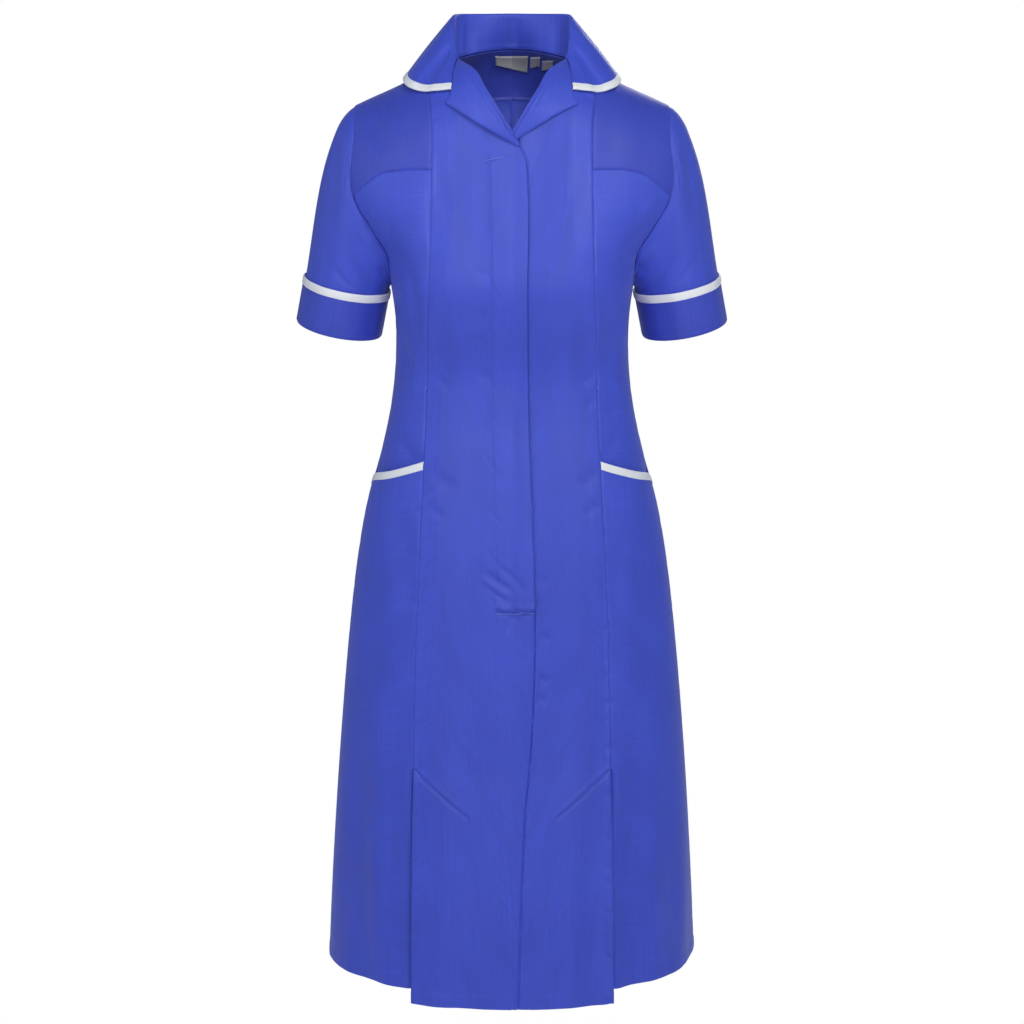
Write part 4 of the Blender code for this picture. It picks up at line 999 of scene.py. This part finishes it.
    edge, edge_normals = skirt.points[0], skirt.normals[0]
    inward = unit(skirt.points[10] - skirt.points[0])
    seam_line = bind(f"{hand}_pocket_tape", f"pocket_binding_{hand}", edge, inward, edge_normals, WALL, white_tape,
                     side=side)
    stitch(f"{hand}_pocket_tape_stitching", seam_line, 0.0024, 0.00045, white_thread)


# ---- back --------------------------------------------------------------------------
# A plain back: a yoke cut across the grain, and two back panels joined down the middle and to the
# side fronts. Nothing but seams, a turned hem and the hang of the cloth.
YOKE_SEAM = -0.045
BACK_FOLDS = [
    (0.030, -0.060, 0.034, -0.210, 0.0130, -0.0018, 0.0040),
    (0.078, -0.075, 0.066, -0.230, 0.0150, -0.0020, -0.0060),
    (0.120, -0.110, 0.104, -0.240, 0.0120, -0.0018, 0.0050),
    (0.118, -0.262, 0.060, -0.325, 0.0100, -0.0020, 0.0060),
    (0.116, -0.320, 0.050, -0.352, 0.0090, -0.0018, 0.0040),
    (0.090, -0.350, 0.020, -0.372, 0.0080, -0.0016, 0.0040),
    (0.070, -0.300, 0.012, -0.330, 0.0090, 0.0014, 0.0040),
    (0.050, -0.470, 0.056, -0.720, 0.0200, -0.0020, 0.0060),
    (0.110, -0.520, 0.118, -0.800, 0.0200, -0.0022, -0.0060),
    (0.030, -0.720, 0.034, -1.036, 0.0170, -0.0030, 0.0050),
    (0.078, -0.680, 0.086, -1.036, 0.0200, -0.0034, -0.0050),
    (0.132, -0.760, 0.142, -1.036, 0.0180, -0.0030, 0.0040),
    (0.172, -0.820, 0.184, -1.036, 0.0140, -0.0026, 0.0030),
    (0.056, -0.860, 0.058, -1.038, 0.0120, 0.0026, 0.0020),
    (0.108, -0.880, 0.113, -1.038, 0.0130, 0.0024, -0.0020),
]


def yoke_line():
    end = armhole_place(BACK, ARMHOLE_TURNS[BACK][4])
    end_x, _, end_height = form(BACK, *end)
    s = np.linspace(0, 1, 40)
    places = place_at(BACK, end_x * s, YOKE_SEAM + (end_height - YOKE_SEAM) * s ** 2)
    places[-1] = end
    return curve(BACK, places)


yoke_seam = yoke_line()
tip_x = float(form(BACK, *armhole_place(BACK, 0.0))[0])
reach = np.linspace(NECK_HALF, tip_x, 40)
back_shoulder = curve(BACK, place_at(BACK, reach, shoulder_line(reach)))
middle = curve(BACK, place_at(BACK, np.zeros(30), np.linspace(COLLAR[-1][2], YOKE_SEAM, 30)))
yoke = Panel(BACK, middle, armhole(BACK, 0, 4), joined(BACK, neck_edge(BACK, 10, 5), back_shoulder), yoke_seam)
yoke.lift = (seam_roll(yoke.from_outer) + seam_roll(yoke.from_bottom)
             + puckers(yoke.from_bottom, yoke.from_inner, 0.0003, 0.008, 0.5)
             + 0.0005 * np.sin(yoke.x * 60 + 1) * np.sin(yoke.z * 40))
flip = np.array([-1, 1, 1])
mirrored_cut = yoke.cut[:, :0:-1] * (-1, 1)
# the yoke takes the darker copy of the twill: painted shade
back_yoke = sew("back_yoke_twill", "back_yoke",
                np.concatenate([yoke.points[:, :0:-1] * flip, yoke.points], axis=1),
                np.concatenate([yoke.normals[:, :0:-1] * flip, yoke.normals], axis=1),
                np.concatenate([mirrored_cut, yoke.cut], axis=1), royal_twill_painted_shade)

for hand, side, phase in SIDES:
    middle = curve(BACK, place_at(BACK, np.zeros(80), np.linspace(YOKE_SEAM, HEM, 80)))
    side_edge = then(armhole(BACK, 4, 9), 5, side_seam(BACK, UNDERARM, HEM), 12)
    angles = np.linspace(math.pi / 2, 0, 40)
    hem = curve(BACK, np.stack([angles, girth_at(BACK, angles, HEM)], axis=-1))
    back = Panel(BACK, middle, side_edge, yoke_seam, hem, step=0.0042)
    inside = beside(back.from_inner) * beside(back.from_outer, 0.050)
    back.lift = ((folds(back.x, back.z, uneven(BACK_FOLDS, phase)) + side_drape(back.x, back.z, phase + 2)) * inside
                 + seam_roll(back.from_inner) + seam_roll(back.from_outer) + seam_roll(back.from_top)
                 + puckers(back.from_inner, back.from_top, 0.0004, 0.009, phase)
                 + puckers(back.from_top, back.from_inner, 0.0004, 0.009, phase)
                 + puckers(back.from_outer, back.from_top, 0.0003, 0.010, phase)
                 + hem_turn(back.from_bottom, back.from_inner, 0.0140, phase))
    piece = sew(f"{hand}_back_twill", f"back_{hand}", back.points, back.normals, back.cut, royal_twill, side=side)


# ---- sleeves and cuffs -------------------------------------------------------------
# Short set-in sleeves of single twill. Each ends in a turned-back cuff cut across the grain, and
# white tape is folded over the cuff's upper edge.
SLEEVE_AXIS = np.array([0.195, 0.100, -0.975])
SLEEVE_AXIS = SLEEVE_AXIS / np.linalg.norm(SLEEVE_AXIS)
CUFF_TOP = np.array([0.1880, 0.0165, -0.2500])
CUFF_LENGTH = 0.0545
SLEEVE_HALF_WIDTH = 0.0482
SLEEVE_HALF_DEPTH = 0.0610
SLEEVE_COLUMNS = 112

# turn round the sleeve (degrees, 0 outside, 90 front, 180 under the arm) and share of its length,
# at both ends, then half width in metres, depth and bow
SLEEVE_FOLDS = [
    (150, 0.05, 128, 0.55, 0.0080, -0.0028, 0.004),
    (168, 0.04, 158, 0.60, 0.0070, -0.0026, 0.003),
    (132, 0.06, 112, 0.36, 0.0070, 0.0018, 0.003),
    (96, 0.60, 124, 0.82, 0.0070, -0.0014, 0.002),
    (70, 0.80, 100, 0.94, 0.0060, -0.0012, 0.002),
    (30, 0.10, 52, 0.40, 0.0120, -0.0012, 0.004),
    (64, 0.02, 70, 0.20, 0.0060, -0.0010, 0.001),
    (206, 0.05, 226, 0.60, 0.0090, -0.0030, 0.004),
    (244, 0.10, 262, 0.70, 0.0100, -0.0024, 0.005),
    (290, 0.20, 300, 0.80, 0.0110, -0.0020, 0.004),
    (330, 0.08, 322, 0.45, 0.0100, -0.0014, 0.003),
]


def cuff_ring(turns, along, out):
    across = unit(np.array([1.0, 0, 0]) - SLEEVE_AXIS[0] * SLEEVE_AXIS)
    front = np.cross(across, SLEEVE_AXIS)
    front = front * -np.sign(front[1])
    return (CUFF_TOP + SLEEVE_AXIS * along + np.cos(turns)[:, None] * across * (SLEEVE_HALF_WIDTH + out)
            + np.sin(turns)[:, None] * front * (SLEEVE_HALF_DEPTH + out))


def tube_normals(points):
    """Normals of a tube of points that point away from its inside."""
    ring = points[:, :-1]
    across = np.roll(ring, -1, axis=1) - np.roll(ring, 1, axis=1)
    across = np.concatenate([across, across[:, :1]], axis=1)
    normals = unit(np.cross(across, np.gradient(points, axis=0)))
    middle = points[:, :-1].mean(axis=1, keepdims=True)
    return normals * np.sign(np.sum(normals[0] * (points - middle)[0]))


def tube_cut(points):
    around = np.linalg.norm(np.diff(points, axis=1), axis=2)
    down = np.linalg.norm(np.diff(points, axis=0), axis=2).mean(axis=1)
    around = np.concatenate([[0], np.cumsum(around.max(axis=0))])
    down = np.concatenate([[0], np.cumsum(down)])
    return np.stack(np.broadcast_arrays(around[None], -down[:, None]), axis=-1), down


turns = np.linspace(math.pi, 3 * math.pi, SLEEVE_COLUMNS + 1)
from_the_top = np.arccos(np.cos(turns))
head = np.where((np.sin(turns) >= 0)[:, None], form(FRONT, *armhole_place(FRONT, from_the_top).T),
                form(BACK, *armhole_place(BACK, from_the_top).T))
head = head - np.array([0.0006, 0, 0])
foot = cuff_ring(turns, 0.0, 0.0)
span = np.linalg.norm(foot - head, axis=1, keepdims=True)
out = 0.42 + 0.33 * np.cos(turns)
leave = unit(np.stack([out, 0 * out, -(1 - 0.45 * out)], axis=-1)) * span * 0.8
arrive = SLEEVE_AXIS * span * 0.9
s = np.concatenate([[0, 0.004, 0.010, 0.018, 0.030], np.linspace(0.045, 1, 52)])[:, None, None]
plain_sleeve = (head * (1 + 2 * s) * (1 - s) ** 2 + foot * s * s * (3 - 2 * s)
                + leave * s * (1 - s) ** 2 - arrive * s * s * (1 - s))
plain_sleeve = np.concatenate([plain_sleeve, [cuff_ring(turns, a, 0) for a in np.linspace(0.004, CUFF_LENGTH, 14)]])
sleeve_share = np.concatenate([s[:, 0, 0], np.linspace(1.02, 1.3, 14)])

for hand, side, phase in SIDES:
    normals = tube_normals(plain_sleeve)
    cut, down = tube_cut(plain_sleeve)
    around, along = np.broadcast_arrays(np.degrees(turns)[None, :] % 360, sleeve_share[:, None])
    lift = np.zeros(around.shape)
    for k, (a0, s0, a1, s1, width, depth, bow) in enumerate(SLEEVE_FOLDS):
        sway = math.sin(2.1 * k + phase)
        to_metres = math.radians(1) * 0.055
        x, z = (around - 5 * sway) * to_metres, -(along - 0.03 * sway) * 0.20
        lift += folds(x, z, [(a0 * to_metres, -s0 * 0.20, a1 * to_metres, -s1 * 0.20, width,
                              depth * (1 + 0.25 * sway), bow)])
    from_head = np.broadcast_to(down[:, None], lift.shape)
    fullness = 0.0016 * np.exp(-((from_head - 0.010) / 0.010) ** 2) * np.clip(np.cos(turns) + 0.45, 0, 1)[None]
    lift = lift + seam_roll(from_head, 0.0010) + fullness
    lift = lift + puckers(from_head, np.broadcast_to(from_the_top[None] * 0.055, lift.shape), 0.0005, 0.012, phase)
    lift = np.where(along > 1, 0, lift * np.clip((1.0 - along) / 0.06, 0, 1))
    lift[:, -1] = lift[:, 0]
    points = plain_sleeve + lift[..., None] * normals
    sleeve = sew(f"{hand}_sleeve_twill", f"sleeve_{hand}", points, normals, cut, royal_twill, closed=True, side=side)

    off = 0.0013
    rows = [(0.0025, off), (0.0030, off)] + [(a, off) for a in np.linspace(0.0045, CUFF_LENGTH - 0.001, 18)]
    rows += [(CUFF_LENGTH + 0.0002, off * 0.93), (CUFF_LENGTH + 0.0009, off * 0.6), (CUFF_LENGTH + 0.0011, 0.0),
             (CUFF_LENGTH + 0.0009, -0.0009), (CUFF_LENGTH - 0.0002, -0.0016)]
    plain_cuff = np.array([cuff_ring(turns, a, o) for a, o in rows])
    normals = tube_normals(plain_cuff)
    cut, down = tube_cut(plain_cuff)
    lift = np.array([0.0 if o < off else 1.0 for a, o in rows])[:, None] * (
        0.0003 * np.sin(turns * 7 + phase) + 0.0002 * np.sin(turns * 12 + 2 * phase) + 0.0003)[None]
    lift = lift + groove(down[:, None] - (CUFF_LENGTH - 0.0075), 0.0003, 0.0010) * np.ones(turns.shape)[None]
    points = plain_cuff + lift[..., None] * normals
    # the cuff takes the darker copy of the twill: painted shade
    cuff = sew(f"{hand}_cuff_twill", f"cuff_{hand}", points, normals, cut, royal_twill_painted_shade, closed=True, side=side)
    down_way = np.repeat(SLEEVE_AXIS[None], len(turns), axis=0)
    edge = cuff_ring(turns, 0.0025, off) + lift[0][:, None] * normals[0]
    seam_line = bind(f"{hand}_cuff_tape", f"cuff_binding_{hand}", edge, down_way, normals[5], WALL, white_tape,
                     side=side, under=0, closed=True)
    stitch(f"{hand}_cuff_tape_stitching", seam_line, 0.0024, 0.00045, white_thread)
    hem_row = int(np.argmin(np.abs(down - (CUFF_LENGTH - 0.0075))))
    stitch(f"{hand}_cuff_stitching", [(points[hem_row] * (side, 1, 1), normals[hem_row] * (side, 1, 1))],
           0.0028, 0.0004, royal_thread)



# ---- lapels ------------------------------------------------------------------------
# The upper corners of the fronts, faced with the same twill, folded back along a soft roll and
# joined to the collar at the gorge. Their outer edges stand a few millimetres off the chest.
GORGE = [(0.0585, -0.0040), (0.0610, -0.0180), (0.0640, -0.0355), (0.0660, -0.0420), (0.0717, -0.0500)]
LAPEL_OUTER_EDGE = {
    "right": [(0.0717, -0.0500), (0.0590, -0.0575), (0.0462, -0.0655), (0.0300, -0.0750), (0.0163, -0.0830),
              (0.0030, -0.0905), (-0.0070, -0.0957)],
    "left": [(0.0717, -0.0510), (0.0580, -0.0570), (0.0437, -0.0640), (0.0320, -0.0710), (0.0212, -0.0778),
             (0.0120, -0.0835), (0.0050, -0.0880)],
}
LAPEL_FOLD_END = {"right": [(-0.0040, -0.0865), (-0.0078, -0.0930)], "left": []}
LAPEL_CREASES = [(0.10, 0.10, 0.50, 0.55, 0.08, 0.0014, 0.05), (0.25, 0.50, 0.50, 0.90, 0.07, -0.0010, 0.02),
                 (0.65, 0.15, 0.45, 0.60, 0.09, -0.0008, 0.04)]
FOLD_RADIUS = 0.0021

for hand, side, phase in SIDES:
    fold_line, outer_line = LAPEL_FOLD + LAPEL_FOLD_END[hand], LAPEL_OUTER_EDGE[hand]
    leaf = Panel(FRONT, spots(FRONT, fold_line), spots(FRONT, outer_line), spots(FRONT, GORGE),
                 spots(FRONT, [fold_line[-1], outer_line[-1]]), step=0.0020)
    u, v = leaf.u[None, :], leaf.v[:, None]
    taper = 1 - (0.60 if hand == "right" else 0.45) * np.clip((v - 0.78) / 0.22, 0, 1)
    radius = FOLD_RADIUS * taper
    stand_off = 0.0044 + 0.0030 * np.sin(math.pi * u) + 0.0026 * u ** 2 * np.sin(math.pi * np.clip(v * 1.1, 0, 1))
    leaf.lift = (2 * FOLD_RADIUS + (stand_off - 2 * FOLD_RADIUS) * beside(leaf.from_inner, 0.006)
                 + 0.0006 * np.sin(v * 9 + phase) * np.sin(math.pi * u) + folds(u + 0 * v, v + 0 * u, LAPEL_CREASES)
                 + seam_roll(leaf.from_outer, 0.0010) + seam_roll(leaf.from_top, 0.0008, 0.0010)) * taper
    outward = unit(leaf.base[:, 8] - leaf.base[:, 0])[:, None]
    around = np.radians(np.linspace(-90, -270, 13))[:-1][None, :, None]
    up = leaf.normals[:, :1]
    roll = (leaf.base[:, :1] + up * radius[..., None] * (1 + np.sin(around))
            + outward * radius[..., None] * np.cos(around))
    roll_normals = up * np.sin(around) + outward * np.cos(around)
    roll_cut = leaf.cut[:, :1] - np.stack(np.broadcast_arrays(np.linspace(0.0066, 0.0005, 12)[None], 0 * v), axis=-1)
    piece = sew(f"{hand}_lapel_twill", f"lapel_{hand}", np.concatenate([roll, leaf.points], axis=1),
                np.concatenate([roll_normals, leaf.normals], axis=1),
                np.concatenate([roll_cut, leaf.cut], axis=1), royal_twill, side=side)


# ---- collar ------------------------------------------------------------------------
# A one-piece collar of double twill with rounded leaves: it stands up round the neck, rolls over
# and falls on the shoulders. White tape binds its edge, and its neck seam is overstitched inside.
ROLL_RADIUS = 0.0030
COLLAR_COLUMNS = 190


def collar_lines(stations):
    """Seam, top of the roll and outer edge at stations from the lapel (0) to the back (10)."""
    table = []
    for k, (face, x, z, rx, ry, rz, edge_face, ex, ez) in enumerate(COLLAR):
        seam_place, edge_place = place_at(face, x, z), place_at(edge_face, ex, ez)
        seam = form(face, *seam_place)
        edge = form(edge_face, *edge_place) + 0.0052 * form_normal(edge_face, *edge_place)
        table.append((float(k), *seam, rx, ry, rz, *edge))
    past = [-value if n in (0, 3, 6) else value for n, value in enumerate(table[-2][1:])]
    table.append((float(len(COLLAR)), *past))
    values = np.stack([smooth(table, column, stations) for column in range(1, 10)], axis=-1)
    return values[:, 0:3], values[:, 3:6], values[:, 6:9]


ends = np.array([0, 0.02, 0.045, 0.08, 0.13, 0.20])
stations = np.concatenate([ends, np.linspace(0.28, 10, COLLAR_COLUMNS // 2)])
seam, top, edge = collar_lines(stations)
seam = seam + np.array([0, 0, 0.0009])
inward, outward = unit(seam - top), unit(edge - top)
up = -unit(inward + outward)
beyond = unit(outward - inward)
centre = top - up * ROLL_RADIUS
rows = [seam + (centre + ROLL_RADIUS * (math.cos(2.8798) * beyond + math.sin(2.8798) * up) - seam) * s
        for s in (0, 0.02, 0.05, 0.09, 0.14, 0.20, 0.28, 0.37, 0.46, 0.55, 0.64, 0.73, 0.82, 0.91)]
rows += [centre + ROLL_RADIUS * (math.cos(t) * beyond + math.sin(t) * up) for t in np.radians(np.linspace(165, 15, 13))]
start = rows[-1]
bulge = 0.004 * unit(up + np.array([0, 0, 0.4]))
rows += [start + (edge - start) * s + bulge * 4 * s * (1 - s)
         for s in (0.03, 0.07, 0.12, 0.17, 0.22, 0.28, 0.34, 0.40, 0.46, 0.52, 0.58, 0.64, 0.70, 0.76, 0.82, 0.87,
                   0.91, 0.94, 0.965, 0.985, 1.0)]
half = np.array(rows)
collar_points = np.concatenate([half, half[:, -2::-1] * flip], axis=1)
normals = unit(np.cross(np.gradient(collar_points, axis=1), np.gradient(collar_points, axis=0)))
middle_column = len(stations) - 1
normals = normals * np.sign(normals[-1, middle_column] @ np.array([0, 1, 1]))
run_down = np.concatenate([np.zeros((1, collar_points.shape[1])),
                           np.cumsum(np.linalg.norm(np.diff(collar_points, axis=0), axis=2), axis=0)])
run_along = np.concatenate([np.zeros((len(rows), 1)),
                            np.cumsum(np.linalg.norm(np.diff(collar_points, axis=1), axis=2), axis=1)], axis=1)
from_end = np.minimum(run_along, run_along[:, -1:] - run_along)
share_down = np.linspace(0, 1, len(rows))[:, None]
station_of = np.concatenate([stations, 20 - stations[-2::-1]])[None]
lift = 0.0011 * np.exp(-((run_down - 0.0035) / 0.0022) ** 2)
lift = lift + puckers(np.abs(run_down - 0.006), run_along, 0.0004, 0.005, 1.2)
off_the_roll = np.clip((0.27 - share_down) / 0.08, 0, 1) + np.clip((share_down - 0.58) / 0.08, 0, 1)
lift = lift + off_the_roll * folds(station_of + 0 * share_down, share_down + 0 * station_of, [
    (8.2, 0.06, 7.2, 0.26, 0.35, -0.0018, 0.1), (11.6, 0.04, 12.6, 0.26, 0.40, -0.0020, 0.1),
    (12.4, 0.10, 13.4, 0.28, 0.30, 0.0012, 0.1), (10.3, 0.04, 9.9, 0.24, 0.30, 0.0010, 0.1),
    (4.4, 0.62, 2.2, 0.90, 0.50, 0.0018, 0.1), (2.2, 0.60, 1.2, 0.92, 0.30, -0.0024, 0.1),
    (15.8, 0.60, 17.9, 0.90, 0.50, 0.0018, -0.1), (17.6, 0.60, 18.7, 0.92, 0.30, -0.0024, 0.1),
    (8.0, 0.60, 8.3, 0.95, 0.60, 0.0016, 0.1), (12.4, 0.62, 12.0, 0.95, 0.60, 0.0016, 0.1)])
lift = lift + seam_roll(from_end, 0.0008, 0.0012)
points = collar_points + lift[..., None] * normals
cut = np.stack([run_along[len(rows) // 2][None] + 0 * run_down, -run_down], axis=-1)
collar = sew("collar_twill", "collar", points, normals, cut, royal_twill, wall=0.0014)
inward = unit(points[-8] - points[-1])
seam_line = bind("collar_tape", "collar_binding", points[-1], inward, normals[-1], 0.0014, white_tape,
                 width=0.0080)
stitch("collar_tape_stitching", seam_line, 0.0024, 0.00045, white_thread)
overstitch = []
for distance in (0.0018, 0.0052):
    line, line_normals = line_of(points, normals, run_down, distance, 0)
    overstitch.append((line, line_normals))
stitch("collar_seam_stitching", overstitch, 0.0026, 0.0006, royal_thread)


# ---- machine stitching on the body -------------------------------------------------
# Polyester thread a shade lighter than the twill: the placket's line and bar tacks, the slanted
# lines over the kick pleats, the waist marks and the hems.
def drawn(panel, pairs, side, spacing=0.0012):
    """A line through (x, height) spots of a panel, lying on its creased surface."""
    pairs = np.array(pairs, float)
    lengths = np.linalg.norm(np.diff(pairs, axis=0), axis=1)
    run = np.concatenate([[0], np.cumsum(lengths)])
    fine = np.linspace(0, run[-1], max(int(run[-1] / spacing), 3))
    x, z = np.interp(fine, run, pairs[:, 0]), np.interp(fine, run, pairs[:, 1])
    nearest = [np.argmin((panel.x - a) ** 2 + (panel.z - b) ** 2) for a, b in zip(x, z)]
    places = place_at(FRONT, x, z)
    normals = form_normal(FRONT, places[:, 0], places[:, 1])
    line = form(FRONT, places[:, 0], places[:, 1]) + normals * panel.lift.reshape(-1)[nearest][:, None]
    return line * (side, 1, 1), normals * (side, 1, 1)


placket_heights = np.linspace(-0.108, -0.607, 60)
placket_line = [(-x, z) for x, z in zip(smooth(PLACKET_STITCH, 1, placket_heights), placket_heights)]
stitch("placket_stitching", [drawn(right, placket_line, -1)], 0.0026, 0.0004, royal_thread)
end_x = -float(smooth(FRONT_EDGE, 1, PLACKET_END))
TACKS = [
    (right, -1, [(0.0288, -0.1105), (0.0100, -0.1068)]),
    (right, -1, [(0.0170, -0.6085), (-0.004, -0.6092), (-0.012, -0.6072), (end_x, -0.6085)]),
    (right, -1, [(0.0975, -0.3655), (0.0935, -0.3608)]),
    (left, 1, [(0.0975, -0.3655), (0.0935, -0.3608)]),
    (right, -1, [(0.1105, -0.7905), (0.1035, -0.7962)]),
    (left, 1, [(0.1105, -0.7905), (0.1035, -0.7962)]),
]


def tack_line(panel, pairs, side):
    """A bar tack's threads lie over the cloth that they draw in."""
    line, normals = drawn(panel, pairs, side, 0.0003)
    return line + 0.0018 * normals, normals


tack_thread = Finish("tack_thread", Base_Color=(0.26, 0.32, 0.84, 1.0), Roughness=0.45, Specular_IOR_Level=0.5).material
stitch("bar_tacks", [tack_line(panel, pairs, side) for panel, side, pairs in TACKS], 0.0012, 0.0010, tack_thread)
slanted = [drawn(panel, [(0.1100, -0.7915), (0.0500, -0.8395)], side) for panel, side in ((right, -1), (left, 1))]
stitch("pleat_stitching", slanted, 0.0028, 0.0004, royal_thread)


def row_at(panel, distance, side):
    line, line_normals = line_of(panel.points, panel.normals, panel.from_bottom, distance, 0)
    return line * (side, 1, 1), line_normals * (side, 1, 1)


stitch("front_hem_stitching", [row_at(right, 0.0150, -1), row_at(left, 0.0150, 1)], 0.0028, 0.0004, royal_thread)


# ---- labels ------------------------------------------------------------------------
# A woven label, left blank, and two small size tabs hang from the neck seam inside the back. They
# are grey satin ribbon, cut to length with a slight curl, sewn in along their top edges.
label_satin = twill("label_satin", (0.375, 0.375, 0.390, 1.0), rib=0.0005, rib_height=0.00002, streak=0.03)
# name, CAD node, left x, right x, top height, length, extra length at the right, curl
LABELS = [
    ("woven_label", "neck_label", -0.0205, 0.0195, 0.0060, 0.0150, 0.0080, 0.0016),
    ("size_tab_first", "size_tab_a", 0.0225, 0.0335, 0.0050, 0.0190, 0.0, 0.0010),
    ("size_tab_second", "size_tab_b", 0.0360, 0.0480, 0.0010, 0.0180, 0.0, 0.0012),
]
for name, node, left_x, right_x, label_top, length, slant, curl in LABELS:
    across = np.linspace(0, 1, 19)[None, :]
    down = np.linspace(0, 1, 17)[:, None]
    x = left_x + (right_x - left_x) * across + 0 * down
    places = place_at(BACK, x, np.full_like(x, label_top))
    girth = places[..., 1] + (length + slant * (across + 0.55 * np.maximum(2 * across - 1, 0))) * down
    normals = -form_normal(BACK, places[..., 0], girth)
    off = 0.0046 + curl * down ** 2 + 0.0004 * np.sin(across * 7) * down - 0.0008 * np.exp(-(down / 0.08) ** 2)
    points = form(BACK, places[..., 0], girth) + off[..., None] * normals
    cut = np.stack([x, -(girth - places[..., 1])], axis=-1)
    tab = sew(name, node, points, normals, cut, label_satin, wall=0.0007)
    length + slant / 2
    line = points[1] * 0.6 + points[2] * 0.4
    stitch(name + "_stitching", [(line, normals[1])], 0.0022, 0.0004, white_thread)
